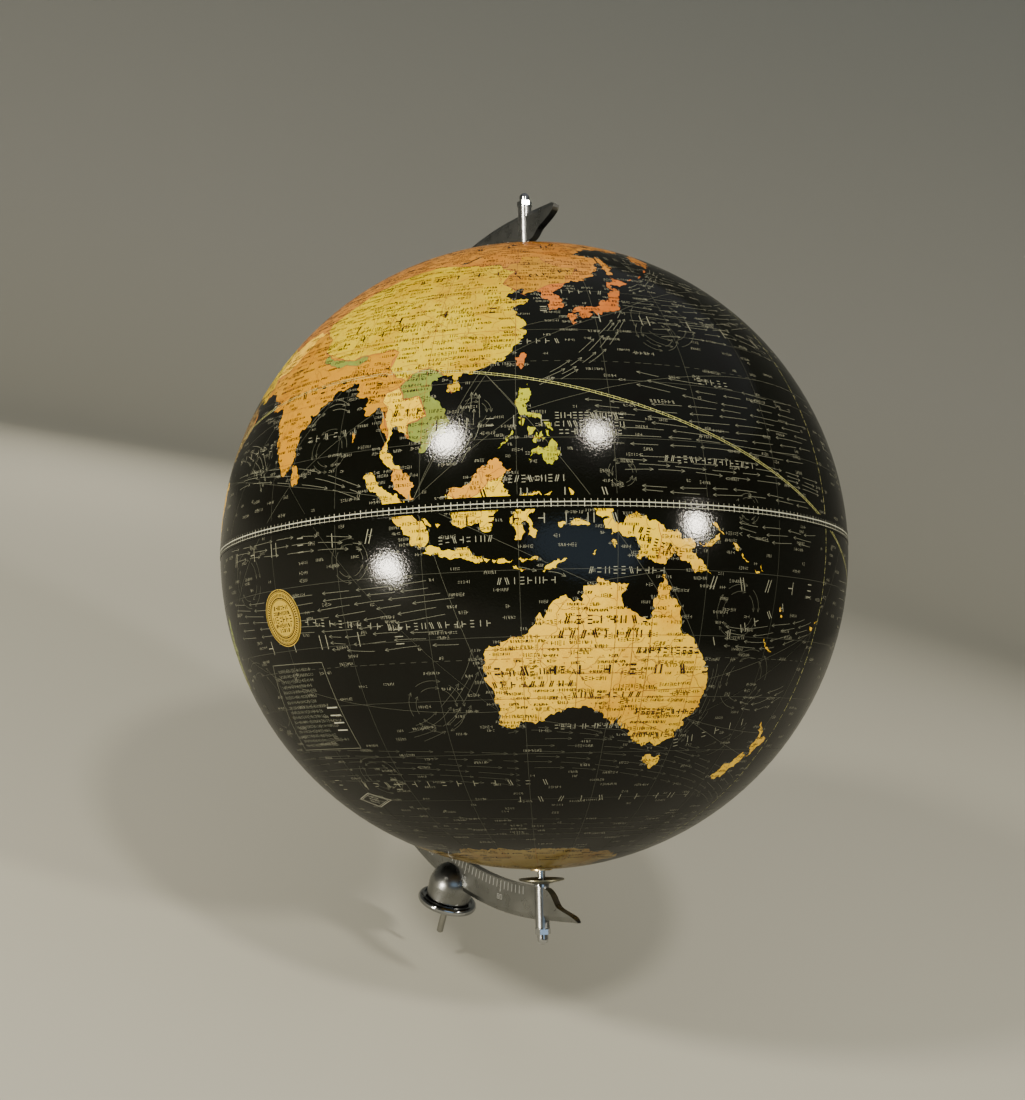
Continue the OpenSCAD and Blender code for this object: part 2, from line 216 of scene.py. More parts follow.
NORTH_AMERICA = outline(
    "-168 65.6, -166 64.5, -161 64.4, -165 61.6, -162 58.9, -157.6 58.6, -160 55.8, -164 54.8, -158.4 56.2,"
    "-153.6 58.6, -151 59.5, -148 60.4, -140 59.8, -134 57.8, -130.4 54.5, -125.5 50, -124.5 48.4, -124 46,"
    "-124.3 42, -122.5 37.5, -120.5 34.5, -117.3 32.8, -115 29, -112.3 26.4, -109.7 23, -111 25.6, -114.6 30.6,"
    "-112.6 29.4, -109 26, -105.6 22, -105.3 19.8, -101 17.6, -96.5 15.8, -94 16.2, -91.5 14, -87.6 13, -85.8 10.6,"
    "-83.5 8.4, -80.3 7.4, -78.6 8.6, -77.4 8.2, -79.5 9.5, -82.5 9.3, -83.7 11, -83.4 14.9, -86 15.9, -88.6 15.9,"
    "-87.6 18.5, -86.9 21.4, -90.4 21, -91.3 18.7, -95 18.6, -97.5 21.5, -97.3 26, -95 29, -90 29.2, -84.5 29.8,"
    "-82.7 28, -81.2 25.3, -80.1 27, -81.3 31, -78 33.9, -75.7 35.4, -76 37.2, -74.1 39.8, -70.3 41.8, -70.2 43.6,"
    "-66.8 44.8, -65.5 43.6, -61 45.5, -64.5 47, -64.5 49, -60 50.2, -55.8 52.8, -60 55, -64.6 60.2, -69.5 61,"
    "-77.8 62.4, -77 57, -79.3 54.8, -79.7 51.5, -82.3 53, -85.5 55.3, -92.4 57, -94.5 59, -93.4 61.8, -88 64.2,"
    "-86 66.4, -82 69.1, -90 68.8, -95 71.4, -97 68.4, -108 68, -115 68, -121 69.8, -128 70.2, -136 69, -145 70,"
    "-156.5 71.3, -163 69.7, -166.4 68.3, -162 66.5")
SOUTH_AMERICA = outline(
    "-77.4 8.6, -76 9.4, -75.4 10.7, -71.6 12.4, -71.4 10.9, -68 11.5, -62 10.7, -60 8.5, -57 6, -51.5 4.2, -50 1.7,"
    "-48.4 -0.8, -44.3 -2.6, -40 -2.9, -35.3 -5.2, -34.8 -8, -37 -11, -39 -13.5, -39.2 -17.7, -41 -22, -43.5 -23,"
    "-46.5 -24.1, -48.6 -26.5, -50.2 -30, -53.5 -34, -56.5 -34.8, -58.4 -34, -57 -36.5, -58 -38.2, -62.2 -38.9,"
    "-65 -41, -63.8 -42.6, -65.5 -45, -67.4 -46.3, -65.8 -47.8, -69 -51, -68.3 -53, -65.2 -54.7, -70 -55.3,"
    "-74 -52.5, -75.4 -48, -73.8 -43, -73.5 -39.5, -73.2 -37, -71.5 -32, -70.5 -25, -70.3 -18.4, -76 -14, -77.2 -12,"
    "-79.8 -7, -81.3 -4.7, -80.2 -3.2, -81 -1, -80 0.8, -78.8 1.8, -77.3 3.9, -77.5 6.6, -78 7.6")
ANTARCTICA = outline(
    "-170 -78.3, -158 -78, -155 -77, -146 -75.5, -136 -74.5, -125 -73.8, -114 -74, -102 -73.4, -90 -73, -80 -73,"
    "-75 -73, -68 -71, -67 -67, -61 -63.8, -57 -63.3, -60 -66, -62 -70, -61 -74.5, -70 -77.8, -50 -78, -36 -78,"
    "-28 -76.4, -20 -73.5, -10 -71.2, 0 -69.8, 15 -69.9, 32 -69.3, 40 -68.8, 48 -67.4, 55 -66, 60 -67.3, 69 -68.2,"
    "72 -69.6, 78 -68.6, 85 -66.8, 95 -66.5, 102 -65.8, 110 -66.4, 116 -66.8, 122 -66.6, 130 -66.1, 136 -66.2,"
    "143 -66.8, 150 -68.4, 158 -69.3, 165 -70.6, 170.5 -71.7, 169 -74, 164.5 -75.5, 165 -78, 172 -78.5, 180 -78.4,"
    "190 -78.3")
GREENLAND = outline(
    "-73 78.2, -60 75.9, -54.5 71.5, -53.5 67, -48.5 61, -43 59.9, -40 65, -32 68, -22 70.3, -20 75, -18 80,"
    "-32 83.4, -58 82, -67 80.5")

# islands: colour, then outline
ISLANDS = [
    (AMBER, "95.3 5.6, 97.5 5.2, 98.7 3.8, 100.3 2.6, 101.6 1.7, 103 0.4, 103.8 -1, 104.6 -2, 105.8 -2.7, 106 -3.4,"
            "105.8 -5.7, 104.6 -5.9, 102.3 -3.9, 100.8 -2, 100.3 -0.8, 99.1 0.4, 98.7 1.8, 97.3 3, 96 4"),
    (AMBER, "105.2 -6.8, 106.1 -5.9, 107.2 -6, 108.6 -6.7, 110.4 -6.9, 111 -6.4, 112.7 -6.9, 113 -7.6, 114.4 -7.8,"
            "114.5 -8.6, 112.5 -8.3, 110 -8, 108.3 -7.7, 106.5 -7.3"),
    (AMBER, "109.1 1.7, 109.7 2, 111.3 2.6, 113 3.2, 114.1 4.6, 115.5 5.6, 116.8 7, 117.7 6.3, 119.2 5.2, 118 4.3,"
            "117.8 3.2, 118.1 2.2, 119 1, 117.7 0.7, 117.5 -0.7, 116.4 -1.7, 116.2 -3.2, 116 -4, 114.6 -4.1,"
            "113 -3.2, 111.7 -3.4, 110.2 -2.9, 110 -1.3, 109.1 -0.3, 108.9 0.8"),
    (AMBER, "125.2 1.6, 123.8 0.9, 121 1.3, 120 0.7, 119.8 -0.8, 119.3 -2, 118.8 -2.8, 119.5 -3.6, 119.4 -5.5,"
            "120.4 -5.6, 120.3 -3.3, 120.9 -2.7, 121.6 -4, 121.5 -4.8, 122.6 -5.3, 122.9 -4.3, 122.2 -3.2,"
            "121.5 -2.1, 122.6 -1, 123.4 -0.8, 121.2 -0.9, 120.6 -1.3, 120.2 -0.6, 120.4 0.4, 122 0.5, 124.3 0.4"),
    (AMBER, "114.5 -8.1, 115.7 -8.3, 115.1 -8.8"), (AMBER, "116 -8.3, 116.7 -8.4, 116.3 -8.9"),
    (AMBER, "116.8 -8.5, 117.8 -8.2, 119.1 -8.5, 118.6 -8.9, 117 -9"),
    (AMBER, "119.9 -8.4, 121.5 -8.5, 122.9 -8.1, 122.7 -8.6, 120.6 -8.9"),
    (AMBER, "119 -9.4, 120.7 -10, 120.3 -10.3, 119.2 -9.8"),
    (AMBER, "123.5 -10.3, 124.4 -9.3, 125.8 -8.5, 127.2 -8.4, 126.3 -9, 124.5 -10.1"),
    (AMBER, "127.7 2.1, 128.5 1.4, 127.9 0.8, 128.7 0.3, 128.2 -0.8, 127.6 0.3"),
    (AMBER, "127.9 -3.1, 129.5 -2.8, 130.8 -3.4, 129.4 -3.4, 128.3 -3.5"),
    (AMBER, "126 -3.1, 127.2 -3.3, 126.6 -3.8"), (AMBER, "134.2 -5.6, 134.8 -6, 134.5 -6.9, 134.1 -6.3"),
    (AMBER, "131.1 -7.8, 131.7 -7.2, 131.4 -8"), (AMBER, "105.3 -1.7, 106.2 -2, 106.8 -3, 105.9 -2.6"),
    (AMBER, "107.5 -2.6, 108.3 -2.8, 107.8 -3.2"),
    (TAN, "131 -0.8, 132.7 -0.4, 134.1 -0.9, 134.2 -2.3, 135 -3.3, 136.3 -2.2, 137.8 -1.5, 141 -2.6, 144.5 -3.9,"
          "145.8 -5.3, 147.8 -6.1, 147 -6.8, 148.3 -8.4, 149.8 -9.6, 150.8 -10.5, 149 -10.3, 147.2 -9.5, 146 -8.6,"
          "144.5 -7.7, 143.3 -8.3, 142.5 -9.3, 140.9 -9.1, 139 -8.1, 138 -8.4, 138.7 -7.2, 138.6 -6.7, 137.9 -5.4,"
          "135.2 -4.4, 133 -4, 132.8 -2.9, 133.8 -2.4, 132.2 -2.2, 131.9 -1.4"),
    (TAN, "148.4 -5.7, 150.2 -5.5, 151.4 -4.9, 152.2 -4.2, 152.1 -5.2, 150.5 -6.3, 149 -6.2"),
    (TAN, "150.8 -2.7, 152 -3.4, 153 -4.4, 152.4 -3.9"), (TAN, "154.7 -5.5, 155.9 -6.7, 155.4 -6.6"),
    (TAN, "156.7 -7, 158.2 -8.3, 157.4 -8"), (TAN, "159.6 -9.4, 160.8 -9.8, 159.8 -9.8"),
    (TAN, "160.8 -8.6, 161.5 -9.6, 161 -9.3"), (TAN, "164.1 -20.1, 167 -22.2, 166.4 -22.3, 164.3 -20.8"),
    (TAN, "177.4 -17.5, 178.6 -17.8, 178 -18.3"), (TAN, "178.8 -16.6, 179.8 -16.4, 179 -17"),
    (TAN, "166.7 -14.9, 167.2 -15.5, 166.7 -15.6"), (TAN, "167.3 -16.1, 167.8 -16.5, 167.4 -16.6"),
    (TAN, "144.7 -40.7, 146.6 -41.2, 148.3 -40.9, 148.1 -42.8, 146.6 -43.6, 145.5 -42.6"),
    (TAN, "172.7 -34.5, 174.3 -35.6, 175.5 -36.7, 176.2 -37.7, 178.5 -37.7, 177.9 -39.2, 176.9 -39.5, 176.2 -41.2,"
          "175.2 -41.6, 175.1 -40.3, 173.8 -39.3, 174.7 -38.3, 174.6 -37, 173.5 -35.6"),
    (TAN, "172.7 -40.6, 174.3 -41.2, 174.2 -41.9, 172.8 -43.3, 173.1 -43.8, 171.3 -44.3, 170.7 -45.9, 169 -46.6,"
          "167.4 -46.2, 166.5 -45.8, 168 -44.3, 170.2 -43, 171.5 -41.8"),
    (LIME, "120.6 18.5, 122.2 18.4, 122.2 17, 121.4 15.7, 121.7 14.2, 123.2 13.9, 124.1 12.7, 123 13.2, 122 13.4,"
           "120.7 13.8, 120.3 14.9, 119.9 16.3, 120.4 16.7"),
    (LIME, "120.4 13.4, 121.4 13.1, 121.2 12.3"), (LIME, "117.2 8.4, 118.3 9.2, 119.5 10.6, 119.5 11.3, 118 9.4"),
    (LIME, "121.9 11.9, 123.1 11.5, 122.6 10.7, 121.9 10.5"),
    (LIME, "122.5 9.6, 123 9.1, 123.4 10, 123.1 10.9, 122.8 10.2"), (LIME, "123.5 9.6, 124 11.1, 123.6 10.6"),
    (LIME, "123.9 9.9, 124.5 10, 124.2 9.6"), (LIME, "124.3 12.5, 125.3 12.4, 125.7 11.1, 124.9 11.5"),
    (LIME, "124.5 11.4, 125 11.1, 125.2 10.2, 124.7 10.3"), (LIME, "123.4 12.2, 124 12.3, 123.8 11.9"),
    (LIME, "121.9 18.9, 122.2 19.3, 121.8 19.2"),
    (LIME, "122.1 7, 122.3 8, 123.4 8.7, 124.8 8.5, 125.5 9.8, 126.3 8.8, 126.6 7.3, 126.1 6.4, 125.6 7, 125.4 5.7,"
           "124.1 6.4, 124 7.5, 123.2 7.4"),
    (LIME, "121.9 6.7, 122.3 6.6, 122 6.4"), (YELLOW, "110.6 20.1, 110.9 19.5, 110 18.4, 108.7 18.6, 109.2 19.8"),
    (KOREA, "121.5 25.2, 121.9 24.8, 121.4 23, 120.9 21.9, 120.1 23.1, 120.7 24.6"),
    (KOREA, "130.9 33.9, 132 33.2, 131.4 31.5, 130.6 31.1, 130.2 32.2, 129.6 33.1"),
    (KOREA, "132.1 33.5, 133.9 34.4, 134.7 33.9, 134.2 33.3, 133 32.7"),
    (KOREA, "130.9 34.1, 132.5 34.3, 135.1 34.6, 135.7 33.5, 136.8 34.4, 138.2 34.6, 138.8 34.7, 139.8 35,"
            "140.8 35.7, 140.9 37, 141.5 38.3, 142 39.6, 141.4 41.4, 140.3 41.2, 139.9 39.9, 139.4 38.3, 137.3 37.5,"
            "136.6 36.6, 136 35.7, 133.1 35.6, 131 34.5"),
    (KOREA, "140 41.5, 141.1 41.8, 141 42.5, 143.2 42, 145.5 43.3, 144.3 44.1, 141.9 45.5, 141.6 43.4, 140.3 43.2,"
            "139.9 42.2"),
    (USSR, "142.1 46, 143.5 46.6, 142.8 47.6, 143.2 49.3, 144.6 49, 143.4 51.5, 143.3 53.3, 142.7 54.4, 142 53.4,"
           "141.8 51.5, 142.1 49.5, 142 47.5"),
    (KOREA, "146.2 44.4, 147.9 45.3, 146.9 44.7"), (KOREA, "150 46, 151.6 47, 150.6 46.4"),
    (KOREA, "154 49, 155.8 50.5, 154.6 49.8"), (INDIA, "92.7 13.4, 93 12.4, 92.6 11.6, 92.6 12.6"),
    (INDIA, "79.9 9.7, 81.2 8.6, 81.9 7.3, 81.2 6.3, 80.3 5.95, 79.9 6.8, 79.8 8.2"),
    (GREEN, "49.3 -12, 50.4 -15.6, 49 -19, 47.2 -24.9, 45 -25.5, 43.6 -23.3, 44.4 -20, 44.4 -16.2, 47 -15.2,"
            "48.5 -13.4"),
    (PINK, "-5.5 50.1, 1.3 51.1, 1.7 52.7, 0.1 53.3, -1.6 55, -2.1 57.5, -3.2 58.6, -5.1 58.5, -5.8 56.3, -4.7 54.8,"
           "-3 53.9, -4.6 53.2, -5.2 51.8, -3 51.3"),
    (PINK, "-6.2 53.3, -6.3 52.2, -10 51.6, -9.9 54.2, -7.3 55.3, -5.6 54.6"),
    (SHADED_CREAM, "-22 64, -18.5 63.4, -14 64.6, -15 66.3, -20.5 66, -24 65.6"),
    (PINK, "-80 73.5, -73 71.5, -62 66.5, -65 62, -73 64.5, -72 67.5, -85 70"),
    (PINK, "-90 77, -78 76.5, -62 82.3, -80 83, -92 81"), (PINK, "-117 69.5, -105 69, -105 73, -117 73"),
    (PINK, "-125 72, -120 74.4, -116 73.4, -123 71.2"), (PINK, "-100 72.8, -92 73, -96 74"),
    (PINK, "-85.5 64, -81 64, -84 65.8"), (PINK, "-59.3 47.7, -55.6 51.5, -53 47"),
    (USSR, "52 71.5, 57 71, 57 73.5, 68 76.8, 62 76.2, 55 74.5"), (USSR, "95 79, 103 79.2, 97 81"),
    (SHADED_CREAM, "15 77, 22 78.5, 20 80, 12 79.3"), (USSR, "138 75.5, 149 75.2, 145 76"),
    (USSR, "179 71, 182 71.2, 180.5 71.6"), (AMBER, "-84.8 22, -82 23.1, -77 21.7, -74.2 20.2, -77.5 19.9, -81 22.1"),
    (GREEN, "-74.3 18.4, -73.3 19.9, -69 19.4, -68.5 18.3, -71.5 17.8"),
    (AMBER, "8.4 39, 9.6 39.2, 9.6 41, 8.3 40.8"), (AMBER, "12.4 38, 15.6 38.2, 15 36.7"),
    (GREEN, "8.6 41.5, 9.5 42.9, 9.3 41.6"), (TAN, "32.4 34.8, 34.4 35.5, 33.8 34.9"),
    (TAN, "23.6 35.4, 26.2 35.2, 24 35"),
]

# lakes and closed seas, back to the ocean's colour
WATERS = [outline(t) for t in (
    "27.6 42.5, 29 41.2, 33 42, 36.5 41.3, 41.4 41.4, 38 44.4, 35.2 45.2, 33.6 46.1, 31 46.6, 28.8 44.5",
    "47 44.6, 51 47, 53 46.6, 52.6 45.2, 50.4 44.6, 52.8 41.4, 53.8 39, 53.8 36.9, 50.5 37, 49 38.6, 49.4 40.4,"
    "47.6 42.8",
    "58.4 44.2, 60.5 46.6, 61.8 45, 59.2 43.6", "103.8 51.6, 106.2 52.6, 109.8 55.6, 108.4 53.6, 105.6 51.5",
    "31.8 0.2, 34.2 0.2, 33.6 -2.6, 31.8 -2.2", "-92 46.8, -88 48.6, -84.8 46.6, -88 47",
    "-87.6 42, -86.4 42, -85.2 45.6, -87.4 44.6", "-84.4 45.8, -81.6 45, -82 43.2, -83.6 43.9",
    "-83 41.9, -79 42.8, -80.5 42.2", "-79.6 43.4, -76.4 43.8, -78 43.2")]

# countries painted over the land, in order; each may run out to sea
COUNTRIES = [
    (AMBER, "-12 35, 4 42, 4 45, -2 47, -6 50, 6 51.4, 7.5 47.5, 8 43.5, 2 38, -6 35"),
    (GREEN, "6 51.4, 5 54, 10 55, 19 55, 18 50, 12.8 47.5, 7.5 47.5"),
    (YELLOW, "7.5 47.5, 12.8 47.5, 14 45, 20 39, 17 35, 7 42"),
    (TAN, "12.8 47.5, 18 50, 19 55, 28 56, 24 48, 30 45, 28 40, 22 34, 14 45"),
    (YELLOW, "4 57, 4 64, 14 71, 24 71.5, 20 68.5, 12 62, 13 55.4, 8 57"),
    (GREEN, "20 68.5, 24 71.5, 31 70.5, 30 62, 28 60, 21 59, 21 64, 24 66"),
    (PINK, "26 42, 36 42.5, 44.5 41, 44.5 37.2, 36 36.8, 30 35, 25 36"),
    (SHADED_CREAM, "34 29, 36 33, 39 32, 46 29, 50 30.2, 60 24, 58 16, 45 11, 42 12, 33 27"),
    (AMBER, "36 36.8, 44.5 37.2, 46 33, 48.6 30, 46 29, 39 32, 36 33, 34 29, 33 32"),
    (YELLOW, "44.5 39.6, 48 39.5, 49 38, 54 37, 57 38.2, 61.2 36.5, 61 31, 63 27, 61.5 24, 50 27, 48.4 30, 46 33,"
             "44.5 37.2"),
    (TAN, "61.2 35.6, 64.5 37, 71 38.4, 74.6 37.3, 71.5 36.5, 71 34, 69 31.5, 66 29.8, 61 29.6, 61 31"),
    (INDIA, "61.6 24, 61.8 27, 63 29.4, 66 29.8, 69 31.5, 71 34, 71.5 36.5, 74.6 37.2, 76 36, 78.6 34.5, 78.9 31.5,"
            "81 30.2, 86 28.1, 88.8 27.4, 92 27.9, 97 28.3, 98.6 27.5, 97.6 24.2, 99.2 22.1, 101.2 21.4, 100.2 20.3,"
            "98 19.6, 97.5 18, 98.7 16.4, 98.3 15, 99.3 12.5, 99 10.8, 98.4 9.8, 96 8, 90 10, 84 4, 76 4, 66 20"),
    (YELLOW, "73.5 39.5, 76 41.4, 80 45, 83 47.2, 87.5 49.2, 92 50.6, 98 52, 106 50.4, 111 49.3, 115.8 49.8,"
             "116.6 47.9, 119.8 46.8, 118 44.5, 117 42.3, 119 41, 120 40, 122 38.6, 123.5 37, 123 32, 122.8 28,"
             "119.5 23.8, 114 21, 111.8 17.5, 107.9 18.5, 108 21.6, 105.3 23.3, 102.2 22.5, 101.2 21.4, 99.2 22.1,"
             "97.6 24.2, 98.6 27.5, 97 28.3, 92 27.9, 88.8 27.4, 86 28.1, 81 30.2, 78.9 31.5, 78.6 34.5, 76 36,"
             "74.6 37.2"),
    (BROWN, "120 40, 119 41, 117 42.3, 118 44.5, 119.8 46.8, 116.6 47.9, 117.8 49.4, 120 50.2, 121 53.3, 125.5 53,"
            "127.5 50, 130.8 48, 134.7 48.3, 133 45, 131.2 44.8, 131 43, 130.6 42.3, 128 42, 126.5 41.5, 124.3 40,"
            "122.3 38, 121 38.2"),
    (KOREA, "124.3 40, 126.5 41.5, 128 42, 130.6 42.3, 132 40, 130.5 35, 126 33, 124 36"),
    (AMBER, "98 19.6, 100.2 20.3, 101.2 18, 102.5 18, 104 18.3, 104.8 16.5, 105.6 14.6, 102.6 13.6, 102.8 11.8,"
            "100.5 11, 101.5 8, 102.2 6.1, 100.5 6.5, 99 6, 97.6 8.5, 98.4 9.8, 99 10.8, 99.3 12.5, 98.3 15,"
            "98.7 16.4, 97.5 18"),
    (MALAY, "100.5 6.5, 102.2 6.1, 105 3, 104.6 0.8, 102 1, 99 5.6"),
    (GREEN, "102.2 22.5, 105.3 23.3, 108 21.6, 110 16, 110.5 11, 105 8, 103 10.5, 102.8 11.8, 102.6 13.6, 105.6 14.6,"
            "104.8 16.5, 104 18.3, 102.5 18, 101.2 18, 100.2 20.3, 101.2 21.4"),
    (GREEN, "80.2 29.6, 81 30.2, 86 28.1, 88.8 27.4, 92 27.9, 92 26.9, 88.2 26.5, 84 27.2, 80.4 28.6"),
    (PINK, "-141 70.4, -141 60.2, -130 54.6, -123 49, -95 49, -89 48, -83 42, -76 44, -67 47, -66 44, -50 46, -60 62,"
           "-76 84, -100 84, -141 75"),
    (GREEN, "-118 32.6, -111 31.3, -106.5 31.6, -101 29.6, -97 25.8, -94 20, -86 22, -88 16, -92 13.6, -108 18"),
    (YELLOW, "-92 14.6, -88 17, -82 16, -77.2 8, -83 7.6"),
    (AMBER, "-34 -8, -50 5, -60 5, -70 -4, -58 -18, -54 -26, -53 -34, -40 -26"),
    (LIME, "-70 -18, -58 -18, -54 -26, -57 -34, -56 -40, -64 -56, -69 -50, -70 -30"),
    (PINK, "-71 -18, -76 -16, -76 -56, -69 -55.5, -72 -48, -69.6 -30"),
    (GREEN, "-60 5, -74 13, -79 8, -79 1, -70 -4"), (TAN, "-79 1, -82 -3, -78 -12, -70 -18, -58 -18, -70 -4"),
    (GREEN, "-18 15, -16 28, -8 31, 8 37, 12 33, 15 22, 24 16, 22 10, 14 8, 14 13, 4 12, -10 12"),
    (YELLOW, "24 32, 35 31, 37 22, 25 22"), (PINK, "25 22, 37 22, 36 12, 42 4, 42 -2, 34 -2, 30 4, 24 12"),
    (PINK, "16 -28, 20 -36, 34 -28, 32 -16, 34 -9, 30 -8, 22 -18, 20 -26"),
    (AMBER, "12 5, 30 4, 30 -13, 22 -11, 12 -6"), (TAN, "11 -6, 22 -11, 22 -18, 11 -18"),
    (GREEN, "32 -10, 42 -10, 36 -27, 31 -26"),
]
ISLAND_COUNTRIES = [
    (MALAY, "109.6 1.6, 111.8 1.1, 114 1.5, 115.6 3.4, 117.8 4.2, 119.8 5.2, 117 7.5, 113 4.5, 109 2.4"),
    (AMBER, "130 0.4, 141 -1, 141 -9.6, 137 -9.2, 131 -4.6"),
]
MAIN_LANDS = [
    ("asia", USSR, ASIA_EUROPE), ("africa", TAN, AFRICA), ("australia", TAN, AUSTRALIA),
    ("north_america", YELLOW, NORTH_AMERICA), ("south_america", TAN, SOUTH_AMERICA), ("greenland", SHADED_CREAM, GREENLAND),
    ("antarctica", SHADED_CREAM, [(WEST, -90)] + ANTARCTICA + [(EAST, -90)]),
]


def rough_coast(points, name, step=0.8, sway=0.13):
    """Breaks each straight stretch of coast into small bays and capes."""
    rng = random.Random(name)
    out = []

    def split(a, b):
        """Bends a stretch at its middle until its parts are short."""
        length = math.hypot((b[0] - a[0]) * math.cos(math.radians(a[1])), b[1] - a[1])
        if length < step or abs(a[1]) > 88 or abs(b[1]) > 88:
            out.append(a)
            return
        bend = rng.gauss(0, sway) * length
        squeeze = max(math.cos(math.radians(a[1])), 0.15)
        middle = ((a[0] + b[0]) / 2 - bend * (b[1] - a[1]) / length / squeeze,
                  (a[1] + b[1]) / 2 + bend * (b[0] - a[0]) / length * squeeze)
        split(a, middle)
        split(middle, b)

    for a, b in zip(points, points[1:] + points[:1]):
        split(a, b)
    return out


LANDS = [(colour, rough_coast(ring, name, 0.5, 0.19)) for name, colour, ring in MAIN_LANDS]
LANDS += [(colour, rough_coast(outline(text), text[:9], 0.4, 0.17)) for colour, text in ISLANDS]
OVERLAYS, ISLAND_OVERLAYS = [
    [(colour, rough_coast(outline(text), text[:9], 1.2, 0.07)) for colour, text in group]
    for group in (COUNTRIES, ISLAND_COUNTRIES)]


def inside(ring, lon, lat):
    """Which of the points lie inside a closed outline."""
    ring = np.array(ring)
    lo, hi = ring.min(0), ring.max(0)
    hit = np.zeros(len(lon), bool)
    near = np.flatnonzero((lon >= lo[0]) & (lon <= hi[0]) & (lat >= lo[1]) & (lat <= hi[1]))
    if not len(near):
        return hit
    x, y = lon[near], lat[near]
    odd = np.zeros(len(near), bool)
    for (x0, y0), (x1, y1) in zip(ring, np.roll(ring, -1, 0)):
        if y0 != y1:
            crosses = ((y0 > y) != (y1 > y)) & (x < (x1 - x0) * (y - y0) / (y1 - y0) + x0)
            odd ^= crosses
    hit[near] = odd
    return hit


def land_at(lon, lat):
    """True where a point is on dry land."""
    lon = np.asarray(lon, float)
    lat = np.asarray(lat, float)
    lon = (lon - WEST) % 360 + WEST
    dry = np.zeros(len(lon), bool)
    for _, ring in LANDS:
        dry |= inside(ring, lon, lat)
    for ring in WATERS:
        dry &= ~inside(ring, lon, lat)
    return dry


# ---------------------------------------------------------------- map surface

def map_triangles():
    """Cuts the whole map into triangles that keep to every coast, border and gore edge.
    Returns the points and the triangles' middles as longitude and latitude, the triangles, and their colours."""
    points, edges = [], []

    def add_path(path, closed=True):
        """Adds a path's points, and the edges that the triangles have to keep."""
        start, count = len(points), len(path)
        points.extend(path)
        edges.extend((start + i, start + (i + 1) % count) for i in range(count if closed else count - 1))

    for ring in [r for _, r in LANDS] + WATERS + [r for _, r in OVERLAYS + ISLAND_OVERLAYS]:
        add_path(ring)
    add_path([(WEST, -90), (EAST, -90), (EAST, 90), (WEST, 90)])
    for lat in (-POLE_LAT, -CALOTTE_LAT, 0, CALOTTE_LAT, POLE_LAT):
        add_path([(WEST, lat), (EAST, lat)], False)
    for lon in range(-150, EAST, GORE_WIDTH):
        add_path([(lon, -90), (lon, 90)], False)
    lat_step = 2.5       # fine enough for the sheet to look round
    for row in range(1, int(180 / lat_step)):
        lat = -90 + row * lat_step
        lon_step = GORE_WIDTH / max(4, round(GORE_WIDTH * math.cos(math.radians(lat)) / lat_step))
        columns = range(math.ceil((WEST + 0.1) / lon_step), math.ceil(EAST / lon_step))
        points.extend([(WEST, lat), (EAST, lat)] + [(c * lon_step, lat) for c in columns])
    for lat in (-POLE_LAT, POLE_LAT):
        points.extend((lon, lat) for lon in range(WEST, EAST + 1, 5))

    cut = delaunay_2d_cdt([Vector(p) for p in points], edges, [], 0, 1e-7, False)
    places = np.array([(p.x, p.y) for p in cut[0]])
    triangles = np.array([tuple(f) for f in cut[2]])
    middles = places[triangles].mean(1)
    lon, lat = middles.T
    colours = np.tile(OCEAN, (len(lon), 1))
    mainland, dry = np.zeros(len(lon), bool), np.zeros(len(lon), bool)
    for i, (colour, ring) in enumerate(LANDS):
        hit = inside(ring, lon, lat)
        colours[hit] = colour
        dry |= hit
        if i < len(MAIN_LANDS):
            mainland |= hit
    for ring in WATERS:
        hit = inside(ring, lon, lat)
        colours[hit] = OCEAN
        dry &= ~hit
    for colour, ring in OVERLAYS:
        colours[inside(ring, lon, lat) & mainland & dry] = colour
    for colour, ring in ISLAND_OVERLAYS:
        colours[inside(ring, lon, lat) & ~mainland & dry] = colour
    return places, middles, triangles, colours


def paper_mesh(name, places, triangles, colours, keep):
    """One printed paper: the kept triangles as a thin closed sheet on the globe, smooth outside and in."""
    kept = np.flatnonzero(keep)
    used = np.unique(triangles[kept])
    lonlat = places[used]
    outer = on_globe(lonlat[:, 0], lonlat[:, 1], np.full(len(used), GLOBE_R))
    _, first, back = np.unique(np.round(outer, 7), axis=0, return_index=True, return_inverse=True)
    back = back.ravel()
    outer = outer[first]
    count = len(outer)
    renumber = {v: int(back[i]) for i, v in enumerate(used)}
    tops, paints = [], []
    for i in kept:
        t = [renumber[v] for v in triangles[i]]
        if len(set(t)) < 3:
            continue
        a, b, c = outer[t]
        if np.dot(np.cross(b - a, c - a), a - CENTRE) < 0:
            t.reverse()
        tops.append(tuple(t))
        paints.append(colours[i])
    radial = (outer - CENTRE) / np.linalg.norm(outer - CENTRE, axis=1)[:, None]
    inner = outer - radial * PAPER_T
    edges = {}
    for a, b, c in tops:
        for e in ((a, b), (b, c), (c, a)):
            edges[e] = edges.get(e, 0) + 1
    rim = [e for e in edges if (e[1], e[0]) not in edges]
    faces = tops + [tuple(v + count for v in reversed(t)) for t in tops]
    faces += [(b, a, a + count, b + count) for a, b in rim]
    paints = paints + paints + [SHADED_CREAM] * len(rim)    # the cut edge shows bare paper, in the cream darkened with painted shade
    mesh = bpy.data.meshes.new(name)
    mesh.from_pydata(np.vstack([outer, inner]).tolist(), [], faces)
    normals = []
    both = np.vstack([radial, -radial])
    for f in faces[:2 * len(tops)]:
        normals += [both[v] for v in f]
    points = np.vstack([outer, inner])
    for f in faces[2 * len(tops):]:
        n = np.cross(points[f[1]] - points[f[0]], points[f[3]] - points[f[0]])
        normals += [n / max(np.linalg.norm(n), 1e-12)] * 4
    paint_mesh(mesh, faces, paints, normals)
    return mesh


